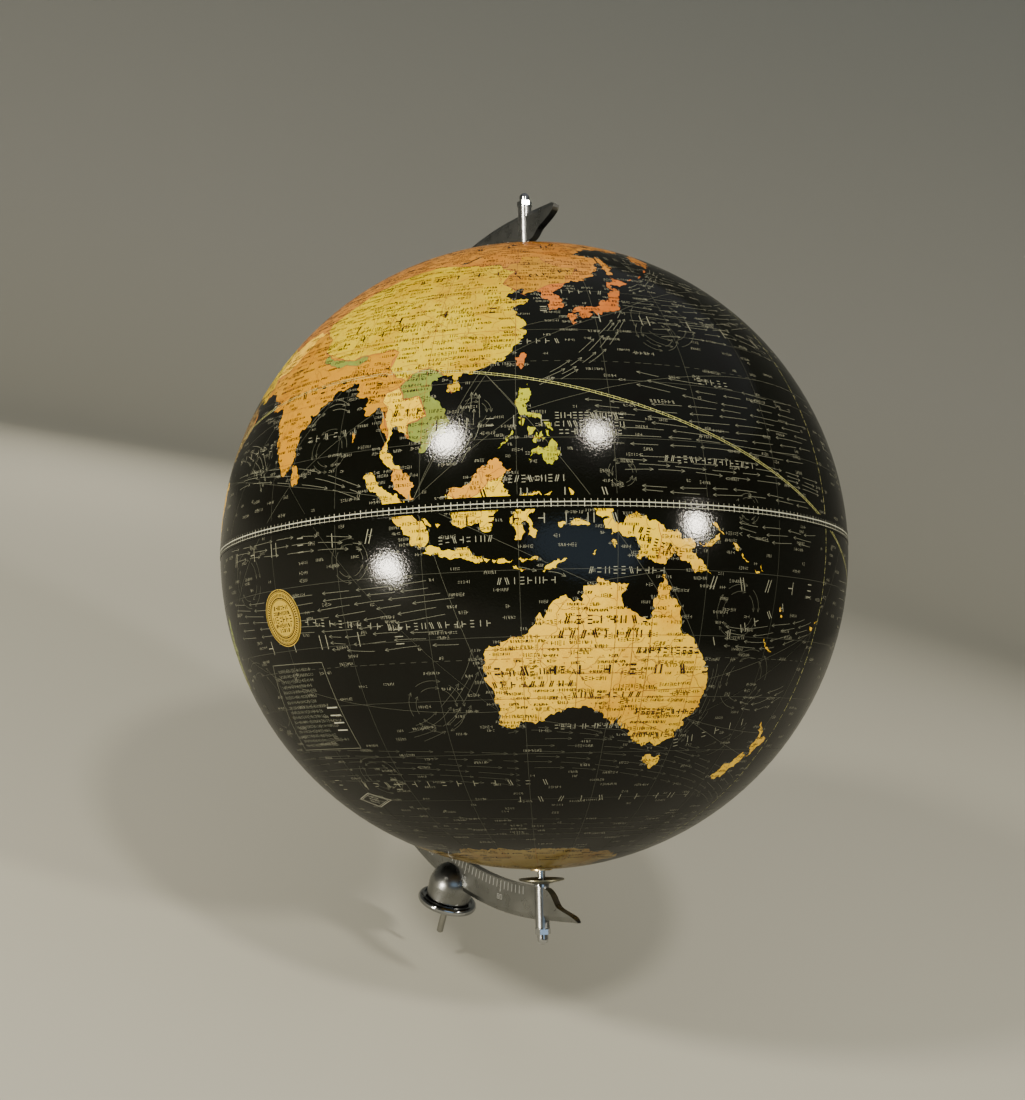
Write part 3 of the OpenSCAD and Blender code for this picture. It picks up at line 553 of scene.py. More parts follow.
def paint_mesh(mesh, faces, paints, normals):
    """Stores each face's ink colour, and the smooth surface's own normals."""
    layer = mesh.color_attributes.new("ink", "FLOAT_COLOR", "CORNER")
    values = np.ones((sum(len(f) for f in faces), 4), np.float32)
    at = 0
    for f, colour in zip(faces, paints):
        values[at:at + len(f), :3] = colour
        at += len(f)
    layer.data.foreach_set("color", values.ravel())
    mesh.polygons.foreach_set("use_smooth", [True] * len(mesh.polygons))
    mesh.normals_split_custom_set([tuple(n) for n in normals])
    mesh.update()


# ---------------------------------------------------------------- materials

def new_material(name):
    """A new material with its nodes, its links and its shader."""
    mat = bpy.data.materials.new(name)
    mat.use_nodes = True
    nodes, links = mat.node_tree.nodes, mat.node_tree.links
    return mat, nodes, links, nodes["Principled BSDF"]


def noise(nodes, links, coords, scale, detail=4.0, roughness=0.55):
    """Noise fixed to the object; the scale counts per metre."""
    n = nodes.new("ShaderNodeTexNoise")
    n.inputs["Scale"].default_value = scale
    n.inputs["Detail"].default_value = detail
    n.inputs["Roughness"].default_value = roughness
    links.new(coords.outputs["Object"], n.inputs["Vector"])
    return n


def ramp(nodes, links, source, stops):
    """Turns a value into a colour by stops of (value, colour)."""
    r = nodes.new("ShaderNodeValToRGB")
    r.color_ramp.elements[0].position, r.color_ramp.elements[0].color = stops[0][0], (*stops[0][1], 1)
    r.color_ramp.elements[1].position, r.color_ramp.elements[1].color = stops[-1][0], (*stops[-1][1], 1)
    for at, colour in stops[1:-1]:
        r.color_ramp.elements.new(at).color = (*colour, 1)
    links.new(source, r.inputs["Fac"])
    return r


def relief(nodes, links, height, strength, distance, under=None):
    """A bump from a height, on top of another bump where one is given."""
    bump = nodes.new("ShaderNodeBump")
    bump.inputs["Strength"].default_value = strength
    bump.inputs["Distance"].default_value = distance
    links.new(height, bump.inputs["Height"])
    if under:
        links.new(under.outputs["Normal"], bump.inputs["Normal"])
    return bump


def multiply(nodes, links, a, b, fac=1.0):
    """One colour multiplied by another."""
    m = nodes.new("ShaderNodeMix")
    m.data_type, m.blend_type = "RGBA", "MULTIPLY"
    m.inputs["Factor"].default_value = fac
    links.new(a, m.inputs["A"])
    links.new(b, m.inputs["B"])
    return m


PRINT_DEPTH = 0.75       # an ink's share of its colour, to match the aged paper round it


def set_varnish(bsdf):
    """A gloss coat over matte print."""
    bsdf.inputs["Roughness"].default_value = 0.5
    bsdf.inputs["Specular IOR Level"].default_value = 0.0
    bsdf.inputs["Coat Weight"].default_value = 0.5
    bsdf.inputs["Coat Roughness"].default_value = 0.09
    bsdf.inputs["Coat IOR"].default_value = 1.45


def varnished_paper(name, colour=None):
    """Old varnished map paper: printed colours, or one colour, under a gloss coat with a fine pebbled skin."""
    mat, nodes, links, bsdf = new_material(name)
    coords = nodes.new("ShaderNodeTexCoord")
    if colour:
        ink = nodes.new("ShaderNodeRGB")
        ink.outputs["Color"].default_value = (*colour, 1)
    else:
        ink = nodes.new("ShaderNodeVertexColor")
        ink.layer_name = "ink"
    mottle = ramp(nodes, links, noise(nodes, links, coords, 30, 7, 0.62).outputs["Fac"],
                  [(0.34, (0.58, 0.47, 0.34)), (0.52, (0.74, 0.74, 0.73)), (0.72, (0.75, 0.69, 0.58))])
    fleck = ramp(nodes, links, noise(nodes, links, coords, 900, 2).outputs["Fac"],
                 [(0.3, (0.84, 0.82, 0.78)), (0.45, (1, 1, 1)), (1, (1, 1, 1))])
    aged = multiply(nodes, links, ink.outputs["Color"], mottle.outputs["Color"])
    flecked = multiply(nodes, links, aged.outputs["Result"], fleck.outputs["Color"], 0.7)
    links.new(flecked.outputs["Result"], bsdf.inputs["Base Color"])
    set_varnish(bsdf)
    fine = noise(nodes, links, coords, 1300, 2, 0.6)
    wide = noise(nodes, links, coords, 60, 2, 0.5)
    waves = relief(nodes, links, wide.outputs["Fac"], 0.25, 0.2 * MM)
    bump = relief(nodes, links, fine.outputs["Fac"], 0.7, 0.05 * MM, waves)
    links.new(bump.outputs["Normal"], bsdf.inputs["Coat Normal"])
    links.new(bump.outputs["Normal"], bsdf.inputs["Normal"])
    return mat


def metal(name, colour, dark, roughness, grain=400, bump_mm=0.02):
    """Plated or cast metal, with faint clouding in its colour and gloss and a fine uneven skin."""
    mat, nodes, links, bsdf = new_material(name)
    coords = nodes.new("ShaderNodeTexCoord")
    cloud = noise(nodes, links, coords, grain / 4, 5)
    tint = ramp(nodes, links, cloud.outputs["Fac"], [(0.35, dark), (0.6, colour)])
    links.new(tint.outputs["Color"], bsdf.inputs["Base Color"])
    bsdf.inputs["Metallic"].default_value = 1.0
    rough = nodes.new("ShaderNodeMapRange")
    rough.inputs["To Min"].default_value = roughness * 0.75
    rough.inputs["To Max"].default_value = roughness * 1.5
    links.new(noise(nodes, links, coords, grain, 4).outputs["Fac"], rough.inputs["Value"])
    links.new(rough.outputs["Result"], bsdf.inputs["Roughness"])
    skin = noise(nodes, links, coords, grain * 1.5, 3)
    bump = relief(nodes, links, skin.outputs["Fac"], 0.15, bump_mm * MM)
    links.new(bump.outputs["Normal"], bsdf.inputs["Normal"])
    return mat


def fibrous(name, colour, dark, scale, stretch=(1, 1, 1)):
    """Board or wood: two tones in stretched noise, matte, with a slight relief."""
    mat, nodes, links, bsdf = new_material(name)
    coords = nodes.new("ShaderNodeTexCoord")
    mapping = nodes.new("ShaderNodeMapping")
    mapping.inputs["Scale"].default_value = stretch
    links.new(coords.outputs["Object"], mapping.inputs["Vector"])
    fibre = nodes.new("ShaderNodeTexNoise")
    fibre.inputs["Scale"].default_value = scale
    fibre.inputs["Detail"].default_value = 6
    links.new(mapping.outputs["Vector"], fibre.inputs["Vector"])
    tint = ramp(nodes, links, fibre.outputs["Fac"], [(0.35, dark), (0.65, colour)])
    links.new(tint.outputs["Color"], bsdf.inputs["Base Color"])
    bsdf.inputs["Roughness"].default_value = 0.8
    bump = relief(nodes, links, fibre.outputs["Fac"], 0.4, 0.1 * MM)
    links.new(bump.outputs["Normal"], bsdf.inputs["Normal"])
    return mat


def varnished_ink(name, colour):
    """One flat printing ink under the same varnish as the paper."""
    mat, nodes, links, bsdf = new_material(name)
    bsdf.inputs["Base Color"].default_value = (*(PRINT_DEPTH * v for v in colour), 1)
    set_varnish(bsdf)
    return mat


PAPER = varnished_paper("varnished_map_paper")
INK_MATERIALS = {name: varnished_ink(f"ink_{name}", colour) for name, colour in INKS.items()}
TAPE = varnished_paper("black_equator_tape", OCEAN)
# the chrome's colour is darkened as painted shade, so that its reflections come out as dark as a dim room's
SHADED_CHROME = metal("chrome_plate", (0.38, 0.39, 0.4), (0.27, 0.28, 0.29), 0.1, 160, 0.01)
# the cast arm's colour is darkened as painted shade, for the arm lying in shadow behind the ball
SHADED_CAST = metal("cast_arm_metal", (0.25, 0.255, 0.25), (0.17, 0.175, 0.17), 0.26, 220, 0.02)
SCALE = metal("bright_scale", (0.85, 0.86, 0.86), (0.7, 0.71, 0.72), 0.3, 220, 0.01)
# the steel's colour is darkened as painted shade, so that its reflections come out dark
SHADED_STEEL = metal("bright_steel", (0.32, 0.32, 0.3), (0.2, 0.2, 0.19), 0.16, 300, 0.01)
# the dull steel's dark olive brown is painted shade together with a painted reflection of the ball's tan print
SHADED_DULL_STEEL = metal("dull_steel", (0.16, 0.15, 0.1), (0.08, 0.075, 0.05), 0.35, 250, 0.02)
BRASS = metal("old_brass", (0.66, 0.5, 0.24), (0.4, 0.28, 0.12), 0.3, 300, 0.02)
BOARD = fibrous("pressed_board", (0.36, 0.27, 0.17), (0.24, 0.17, 0.1), 250)
WOOD = fibrous("pole_wood", (0.5, 0.34, 0.18), (0.32, 0.2, 0.1), 60, (1, 1, 0.1))

CAD_MATERIALS = {
    "chrome_plate": SHADED_CHROME, "cast_arm": SHADED_CAST, "steel": SHADED_STEEL, "dull_steel": SHADED_DULL_STEEL, "brass": BRASS,
    "pressed_board": BOARD, "pole_wood": WOOD, "printed_paper": PAPER, "south_polar_paper": PAPER,
    "equator_paper": TAPE,
}
for part in frame["record"]["subparts"]:
    mesh = frame["nodes"][part["node"]].data
    mesh.materials.clear()
    mesh.materials.append(CAD_MATERIALS[part["material_slot"]])

# ---------------------------------------------------------------- the map pieces

places, middles, triangles, colours = map_triangles()
gore_of = np.floor((middles[:, 0] + 180) % 360 / GORE_WIDTH).astype(int)


def add_paper(name, node, keep):
    """One printed paper that stands in for the CAD's node, or for a part of it."""
    piece = add_piece(name, paper_mesh(name, places, triangles, colours, keep), PAPER, "globe")
    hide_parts(node)


for side, sign in (("north", 1), ("south", -1)):
    lat = middles[:, 1] * sign
    for gore in range(360 // GORE_WIDTH):
        add_paper(f"{side}_gore_{gore + 1:02d}", f"{side}_gores",
                  (lat > 0) & (lat < CALOTTE_LAT) & (gore_of == gore))
    add_paper(f"{side}_polar_paper", f"{side}_calotte",
              (lat > CALOTTE_LAT) & (lat < POLE_LAT))

# ---------------------------------------------------------------- printed lines and words

INK_LIFT = 0.02 * MM     # how far the ink stands above its paper
MAX_SEGMENT = 1.2        # longest straight stroke in degrees, so that it keeps to the curve
LAND_WEIGHT = 1.7        # words on land are printed this much heavier


class Ink:
    """Printed marks, kept as short straight strokes on the map: where each starts and ends, its width and tone."""

    def __init__(self):
        self.rows = []

    def stroke(self, lon0, lat0, lon1, lat1, width, tone):
        """One straight stroke; places in degrees, width in millimetres."""
        self.rows.append((lon0, lat0, lon1, lat1, width, tone))

    def path(self, points, width, tone, dash=None):
        """A line through the points; dash is (drawn, left out) in degrees, or nothing for a whole line."""
        travelled = 0.0
        for (x0, y0), (x1, y1) in zip(points, points[1:]):
            length = math.hypot((x1 - x0) * math.cos(math.radians((y0 + y1) / 2)), y1 - y0)
            limit = min(MAX_SEGMENT, dash[0] / 2) if dash else MAX_SEGMENT
            parts = max(1, math.ceil(length / limit))
            for i in range(parts):
                a, b = i / parts, (i + 1) / parts
                if not dash or travelled % (dash[0] + dash[1]) < dash[0]:
                    self.stroke(x0 + (x1 - x0) * a, y0 + (y1 - y0) * a,
                                x0 + (x1 - x0) * b, y0 + (y1 - y0) * b, width, tone)
                travelled += length / parts

    def pieces(self, prefix, slot, keep=None, radius=GLOBE_R):
        """Builds the kept strokes as thin pieces riding on the globe, one for each ink."""
        rows = np.array(self.rows, float)
        middle = (rows[:, :2] + rows[:, 2:4]) / 2
        dry = land_at(middle[:, 0], middle[:, 1])
        kept = np.ones(len(rows), bool) if keep is None else keep(middle[:, 0], middle[:, 1])
        printed = np.array([TONES[int(tone)][int(land)] or "" for tone, land in zip(rows[:, 5], dry)])
        widths = rows[:, 4] * MM * np.where(dry & (rows[:, 5] == WORD), LAND_WEIGHT, 1.0)
        for ink_name in INKS:
            chosen = kept & (printed == ink_name)
            if chosen.any():
                name = f"{prefix}_{ink_name}"
                mesh = self.mesh(name, rows[chosen], widths[chosen], radius + INK_LIFT)
                add_piece(name, mesh, INK_MATERIALS[ink_name], "globe")

    @staticmethod
    def mesh(name, rows, widths, radius):
        """Flat four-cornered strokes at a height above the globe's centre, shaded as the ball is."""
        a = on_globe(rows[:, 0], rows[:, 1], np.full(len(rows), radius))
        b = on_globe(rows[:, 2], rows[:, 3], np.full(len(rows), radius))
        out = (a + b) / 2 - CENTRE
        out /= np.linalg.norm(out, axis=1)[:, None]
        across = np.cross(out, b - a)
        across *= (widths / 2 / np.maximum(np.linalg.norm(across, axis=1), 1e-12))[:, None]
        corners = np.stack([a - across, b - across, b + across, a + across], 1).reshape(-1, 3)
        faces = np.arange(len(corners)).reshape(-1, 4)
        mesh = bpy.data.meshes.new(name)
        mesh.from_pydata(corners.tolist(), [], faces.tolist())
        mesh.polygons.foreach_set("use_smooth", [True] * len(mesh.polygons))
        mesh.normals_split_custom_set([tuple(n) for n in np.repeat(out, 4, axis=0)])
        return mesh


rng = random.Random("printed map")
TILT, POLAR_CIRCLE = 23.45, 66.5
DEGREES_A_DAY = 0.9863


def graticule(ink):
    """Meridians every 15 degrees, parallels every 10, and the dashed tropics and polar circles."""
    for lon in range(-180, 180, 15):
        ink.path([(lon, lat) for lat in steps(-80, 80, 1.25)], 0.16, GRATICULE)
    for lat in list(range(-80, 0, 10)) + list(range(10, 90, 10)):
        ink.path([(lon, lat) for lon in steps(WEST, EAST, 1.5)], 0.16, GRATICULE)
    for lat in (-POLAR_CIRCLE, -TILT, TILT, POLAR_CIRCLE):
        ink.path([(lon, lat) for lon in steps(WEST, EAST, 1.0)], 0.2, GRATICULE, (1.0, 0.8))


def ecliptic(ink):
    """The sun's yearly path, as two fine lines with a dash across them for each day; and the date line."""
    slope = math.tan(math.radians(TILT))

    def lat_at(lon):
        """The path's latitude at a longitude."""
        return math.degrees(math.atan(slope * math.cos(math.radians(lon - 90))))

    for offset in (-0.18, 0.18):
        ink.path([(lon, lat_at(lon) + offset) for lon in steps(WEST, EAST, 1.0)], 0.14, YELLOW_LINE)
    for lon in steps(WEST, EAST, DEGREES_A_DAY):
        ink.stroke(lon, lat_at(lon) - 0.26, lon, lat_at(lon) + 0.26, 0.12, YELLOW_LINE)
    ink.path([(180, lat) for lat in steps(-70, 66, 1.0)], 0.22, YELLOW_LINE, (1.2, 0.5))


def arrow(ink, points, width, tone):
    """A current line with a small head at its far end."""
    ink.path(points, width, tone)
    (x0, y0), (x1, y1) = points[-2:]
    squeeze = math.cos(math.radians(y1))
    angle = math.atan2(y1 - y0, (x1 - x0) * squeeze)
    barb, sweep = 0.65, 2.75
    for turn in (sweep, -sweep):
        ink.stroke(x1 + barb * math.cos(angle + turn) / squeeze, y1 + barb * math.sin(angle + turn),
                   x1, y1, width, tone)


def current(ink, ends, bend, rows, spacing, dash, tone=SEA_ONLY):
    """Rows of long thin arrows following a bent path across the sea."""
    (x0, y0), (x1, y1) = ends
    span = math.hypot(x1 - x0, y1 - y0)
    nx, ny = -(y1 - y0) / span, (x1 - x0) / span
    for row in range(rows):
        offset = (row - (rows - 1) / 2) * spacing
        t = rng.uniform(0, dash / span)
        while t < 1:
            length = dash * rng.uniform(0.6, 1.3) / span
            stop = min(1, t + length)
            points = []
            for k in range(7):
                a = t + (stop - t) * k / 6
                rise = offset + bend * 4 * a * (1 - a) + 0.2 * math.sin(9 * a + row)
                points.append((x0 + (x1 - x0) * a + nx * rise, y0 + (y1 - y0) * a + ny * rise))
            arrow(ink, points, 0.17, tone)
            t = stop + rng.uniform(0.8, 2.5) / span


def mark(ink, lon, lat, height, width, tone, angle=0.0):
    """One mark the size of a letter, made of a few plain strokes that spell nothing."""
    squeeze = math.cos(math.radians(lat))
    ca, sa = math.cos(angle), math.sin(angle)

    def at(x, y):
        """A place on the mark's own axes, as longitude and latitude."""
        return lon + (x * ca - y * sa) / squeeze, lat + x * sa + y * ca

    half, wide = height / 2, height * 0.3
    shapes = (
        [(-wide, -half, -wide, half), (wide, -half, wide, half)],
        [(0, -half, 0, half)],
        [(-wide, -half, 0, half), (0, -half, wide, half)],
        [(-wide, half, 0, -half), (0, half, wide, -half)],
        [(-wide, -half, -wide, half), (-wide, 0, wide, 0)],
        [(wide, -half, wide, half), (-wide, 0, wide, 0)],
        [(-wide, half * 0.6, wide, half * 0.6), (-wide, -half * 0.6, wide, -half * 0.6)],
        [(-wide, half, wide, half), (-wide, 0, wide, 0), (-wide, -half, wide, -half)],
    )
    for x0, y0, x1, y1 in shapes[rng.randrange(len(shapes))]:
        ink.stroke(*at(x0, y0), *at(x1, y1), width, tone)


def word(ink, lon, lat, letters, height, width, tone, spread=1.0, angle=0.0):
    """A row of marks the size of letters, centred on the place; height in degrees, stroke in millimetres."""
    pitch = height * 0.95 * spread
    squeeze = math.cos(math.radians(lat))
    for i in range(letters):
        x = (i - (letters - 1) / 2) * pitch
        mark(ink, lon + x * math.cos(angle) / squeeze, lat + x * math.sin(angle), height, width, tone, angle)


def small_words(ink):
    """Place names all over the land, and soundings and sea names over the ocean, as rows of tiny marks."""
    lat = -72.0
    spots = []
    while lat < 78:
        squeeze = math.cos(math.radians(lat))
        lon = -170 + rng.uniform(0, 4)
        while lon < 188:
            spots.append((lon, lat + rng.uniform(-0.35, 0.35)))
            lon += rng.uniform(1.6, 5.2) / squeeze
        lat += 0.98
    dry = land_at([p[0] for p in spots], [p[1] for p in spots])
    dry_right = land_at([p[0] + 2.2 for p in spots], [p[1] for p in spots])
    for (lon, lat), land, right in zip(spots, dry, dry_right):
        if land:
            if rng.random() < 0.86:
                word(ink, lon, lat, rng.randint(3, 8), rng.choice((0.42, 0.42, 0.5, 0.62)), 0.13, WORD, 0.95)
                ink.stroke(lon - 1.9, lat, lon - 1.72, lat, 0.35, RIVER)
        elif right:
            word(ink, lon + 0.5, lat, rng.randint(3, 6), 0.42, 0.12, WORD, 0.95)
        elif rng.random() < 0.2:
            word(ink, lon, lat, rng.randint(2, 7), 0.45, 0.12, WORD, 0.95)


# larger names: longitude, latitude, marks, height in degrees, stroke in mm, spacing, slope
BIG_WORDS = [
    (134, -25.4, 9, 1.5, 0.42, 2.9, 0), (121.5, -25.6, 7, 1.0, 0.26, 1.6, 0.05), (133.5, -17.6, 8, 1.2, 0.3, 1.5, 0),
    (133.5, -19.8, 9, 1.2, 0.3, 1.5, 0), (144.5, -22.4, 10, 1.0, 0.28, 1.15, 0), (121.5, -27.6, 9, 1.0, 0.26, 1.5, 0),
    (134.5, -29.6, 9, 1.0, 0.26, 1.3, 0), (146.3, -32.6, 12, 0.9, 0.26, 1.0, 0),
    (144.4, -36.8, 8, 0.85, 0.24, 1.0, 0),
    (113.5, 0.4, 6, 1.0, 0.3, 1.6, 0), (138.6, -4.2, 3, 0.95, 0.28, 1.3, -0.2),
    (141.6, -6.2, 6, 0.95, 0.28, 1.3, -0.3),
    (143.2, -7.6, 6, 0.75, 0.2, 1.1, 0), (105.6, 35, 5, 1.7, 0.42, 5.0, 0), (88.5, 32, 5, 1.3, 0.32, 3.0, 0.08),
    (103.5, 46, 8, 1.3, 0.32, 2.6, 0), (78.5, 22.5, 5, 1.5, 0.4, 3.2, 0), (96.2, 21.5, 5, 1.0, 0.28, 1.7, 1.25),
    (101.3, 15.6, 4, 1.2, 0.32, 1.8, 0), (126.5, 45.5, 9, 1.0, 0.28, 1.5, 0.3), (125, 62, 14, 1.6, 0.36, 4.0, 0),
    (90, 60, 12, 1.6, 0.36, 3.6, 0), (116, 12.8, 5, 1.9, 0.3, 2.3, 0), (124, 27.5, 5, 1.0, 0.24, 1.5, 0),
    (131.5, 12.2, 12, 0.95, 0.26, 1.0, 0), (131.5, 13.6, 12, 0.95, 0.26, 1.0, 0),
    (131.5, 10.9, 11, 0.95, 0.26, 1.0, 0),
    (122.5, 3.6, 10, 1.0, 0.28, 1.05, 0), (151.5, 7.0, 16, 0.95, 0.26, 1.2, 0), (144, 16.5, 7, 0.6, 0.16, 1.1, 0),
    (142.5, 25.5, 6, 0.6, 0.16, 1.1, 0), (136.5, -10.2, 10, 1.0, 0.26, 1.3, 0), (121, -11.6, 8, 1.0, 0.26, 1.2, 0),
    (112, -5.2, 8, 0.95, 0.26, 1.2, 0), (107, -17.8, 13, 0.95, 0.26, 1.4, 0), (89, -16.6, 13, 1.0, 0.28, 1.9, -0.12),
    (79, -3.6, 6, 2.2, 0.34, 3.3, 0), (84.5, -19.2, 5, 2.3, 0.34, 3.3, 0), (88, 13.5, 6, 1.1, 0.26, 1.8, 0),
    (67, 14, 7, 1.2, 0.26, 2.2, 0), (133.5, 39.7, 5, 1.1, 0.26, 1.5, 0), (149, 54, 7, 1.1, 0.26, 1.7, 0),
    (160, -18, 6, 1.4, 0.3, 2.2, 0.4), (158.5, -36.5, 6, 1.3, 0.28, 2.1, 0.3), (163, -11.8, 5, 2.0, 0.32, 3.0, 0),
    (165, 33, 7, 2.2, 0.34, 4.0, 0), (155, 21, 5, 1.0, 0.24, 1.4, 0), (118, 1.4, 6, 1.6, 0.36, 4.0, 0),
    (123.5, -2.4, 7, 1.5, 0.34, 2.6, 0), (100, -46, 13, 1.2, 0.26, 2.4, 0), (140, -50, 10, 1.3, 0.26, 2.6, 0),
    (132, -35, 12, 0.9, 0.24, 1.1, 0), (110, -78, 10, 1.6, 0.3, 2.6, 0), (20, 10, 6, 2.0, 0.45, 4.5, 0),
    (24, 48, 6, 1.8, 0.4, 4.2, 0), (-100, 40, 12, 1.8, 0.4, 2.8, 0), (-105, 57, 6, 1.8, 0.4, 4.0, 0),
    (-55, -8, 6, 1.9, 0.4, 3.2, 0), (-64, -34, 9, 1.2, 0.3, 1.4, 0), (-30, 25, 8, 2.2, 0.34, 3.6, 0),
    (-20, -20, 8, 2.2, 0.34, 3.6, 0), (-130, 10, 7, 2.3, 0.34, 4.0, 0), (-120, -25, 7, 2.3, 0.34, 4.0, 0),
    (-140, 36, 7, 2.2, 0.34, 4.0, 0), (60, -46, 6, 2.2, 0.34, 3.6, 0), (45, 24, 6, 1.4, 0.34, 2.4, 0),
    (-40, 73, 9, 1.4, 0.3, 1.8, 0), (46, -19, 10, 0.9, 0.24, 1.1, 1.3),
]

# sea currents: two ends, bend, rows, spacing and arrow length, all in degrees
CURRENTS = [
    ((179, 13), (131, 13), 0.6, 7, 1.15, 6.5), ((178, 19), (140, 20.5), 1.2, 3, 1.4, 5.5), ((134, 6),
    (178, 5.4), 0.4, 4, 0.8, 5),
    ((176, 2.2), (139, 2.2), 0, 2, 0.8, 4.5), ((176, -3.6), (156, -3.2), 0.4, 3, 1.0, 4.5),
    ((123.5, 19), (141, 35), -1.8, 4, 0.8, 3.6), ((141, 36), (178, 41), -2, 6, 1.3, 5.5), ((160, 52),
    (145, 41), 1, 3, 1.0, 3.2),
    ((178, 48), (150, 50), 2.5, 3, 1.2, 4.5), ((143, 30.5), (178, 31.5), 1.0, 3, 1.7, 5),
    ((112, -13), (58, -13.5), 1.4, 6, 1.15, 7), ((110, -19.5), (86, -19.5), 0.4, 3, 1.2, 6), ((97, -36),
    (113, -23), -3, 4, 1.2, 4.4),
    ((58, -3), (95, -4.5), 0.5, 3, 1.1, 5), ((60, 9.5), (95, 3.2), 2, 3, 1.1, 5.5), ((82, 15), (92, 17),
    3, 3, 0.8, 3),
    ((60, 15), (72, 8), 2, 4, 1.1, 4), ((40, -43), (118, -43.5), 1.6, 6, 1.3, 6), ((118, -40), (178, -50),
    2.6, 6, 1.2, 5),
    ((40, -55), (188, -58), -2, 5, 1.6, 6), ((116, -35.8), (137, -37.5), 1.2, 2, 0.7, 3), ((178, -17),
    (155, -20), 1.2, 4, 1.1, 4.4),
    ((154.8, -24), (151, -38), 1.8, 4, 0.8, 3.2), ((152, -39.5), (168, -35.5), -2.4, 3, 1.0, 3.6), ((178, -27),
    (163, -31), 1.5, 3, 1.2, 4),
    ((110.5, 6), (113.5, 18), -1.2, 3, 0.8, 3), ((118, -9.8), (127, -11.2), 0.5, 1, 1, 3), ((185, -12),
    (280, -9), 0, 5, 1.6, 8),
    ((274, 13), (186, 13), 1, 6, 1.4, 8), ((190, 42), (232, 44), 3, 5, 1.6, 7), ((234, 40), (246, 22), -2, 4, 1.4, 5),
    ((285, -38), (282, -8), 3, 5, 1.4, 6), ((190, -48), (282, -52), 3, 6, 1.8, 8), ((-78, 28), (-40, 42),
    3, 5, 1.1, 5),
    ((-38, 44), (-8, 56), 1, 4, 1.6, 6), ((-18, 30), (-22, 14), 3, 4, 1.3, 5), ((-22, 12), (-58, 13), 1, 6, 1.3, 7),
    ((6, -4), (-34, -5), 1, 5, 1.3, 6), ((-36, -12), (-48, -36), -3, 4, 1.2, 5), ((-50, -42), (14, -42),
    2, 6, 1.5, 7),
    ((13, -30), (4, -8), 3, 4, 1.3, 5), ((38, -12), (32, -33), 3, 3, 1.0, 4), ((34, -36), (18, -37), 1, 3, 1.0, 4),
]

PORTS = {
    "a": (103.9, 1.1), "b": (114.3, 22.1), "c": (121.8, 31), "d": (139.9, 34.6), "e": (120.6, 14.3), "f": (79.6, 6.2),
    "g": (72.6, 18.8), "h": (115.4, -32.1), "i": (138.2, -35.8), "j": (144.9, -39.3), "k": (151.6, -34),
    "l": (174.9, -36.7),
    "m": (106.6, -5.7), "n": (130.6, -12), "o": (88.2, 21.2), "p": (80.6, 13), "q": (96, 16), "r": (45, 12.3),
    "s": (31.4, -30.2), "t": (57.4, -20), "u": (202.1, 21.2), "v": (237, 37.5), "w": (178.5, -18.4),
    "x": (142.6, -10.2),
    "y": (153.6, -27), "z": (174.4, -41.6),
}


def great_circle(a, b, count=60):
    """Points along the shortest way between two places."""
    ends = []
    for lon, lat in (a, b):
        x, y = math.radians(lon), math.radians(lat)
        ends.append(np.array([math.cos(y) * math.cos(x), math.cos(y) * math.sin(x), math.sin(y)]))
    turn = math.acos(float(np.clip(np.dot(*ends), -1, 1)))
    out = []
    for i in range(count + 1):
        t = i / count
        v = (math.sin((1 - t) * turn) * ends[0] + math.sin(t * turn) * ends[1]) / math.sin(turn)
        lon = math.degrees(math.atan2(v[1], v[0]))
        out.append(((lon - WEST) % 360 + WEST, math.degrees(math.asin(v[2]))))
    return out


# ship routes, as pairs of ports
ROUTES = """ab ac bd be ae af fg fh fp po fq aq fr gr hi ij jk kl kz ma mh an nx xk xy cd du uv uw wl wk ht ts hf
            eu ky yb kw yw dv fs gs"""

# closed swirls in the currents: longitude, latitude, radius and direction
GYRES = [(88, 11, 3.6, 1), (66, -7.5, 4.6, -1), (92.5, -7, 3.4, 1), (113.5, 14.5, 2.6, -1), (157, -16, 4.2, -1),
         (162, -27, 5, 1),
         (104, -31, 4.5, -1), (84, -44, 4, 1), (146.5, 30, 3.6, 1), (136, 4.5, 2.2, 1), (149, 33, 5.5, 1),
    (158, 0, 2.4, -1),
         (-40, 30, 9, -1), (-15, -25, 9, 1), (-110, -30, 10, 1), (-150, 30, 10, -1), (60, -28, 7, 1), (70, 12, 3, -1)]


def gyres(ink):
    """Swirls: two rings of five bent arrows each."""
    arrow_angle = 0.95
    for lon, lat, radius, turn in GYRES:
        for ring in (1.0, 0.74):
            for start in steps(0, 2 * math.pi, 2 * math.pi / 5)[:-1]:
                angles = steps(start, start + arrow_angle, arrow_angle / 6)[::turn]
                arrow(ink, ring_points(lon, lat, ring * radius, angles), 0.14, ROUTE)


def sea_marks(ink):
    """Swirls, currents, and dashed ship routes between the ports."""
    gyres(ink)
    faint_south_of = -34
    for start, stop, bend, rows, spacing, dash in CURRENTS:
        tone = FAINT if min(start[1], stop[1]) < faint_south_of else SEA_ONLY
        current(ink, (start, stop), bend, rows, spacing, dash, tone)
    for pair in ROUTES.split():
        points = great_circle(PORTS[pair[0]], PORTS[pair[1]])
        legs = [p for p in zip(points, points[1:]) if abs(p[0][0] - p[1][0]) < 180]
        for a, b in legs:
            ink.path([a, b], 0.13, ROUTE, (0.9, 0.45))


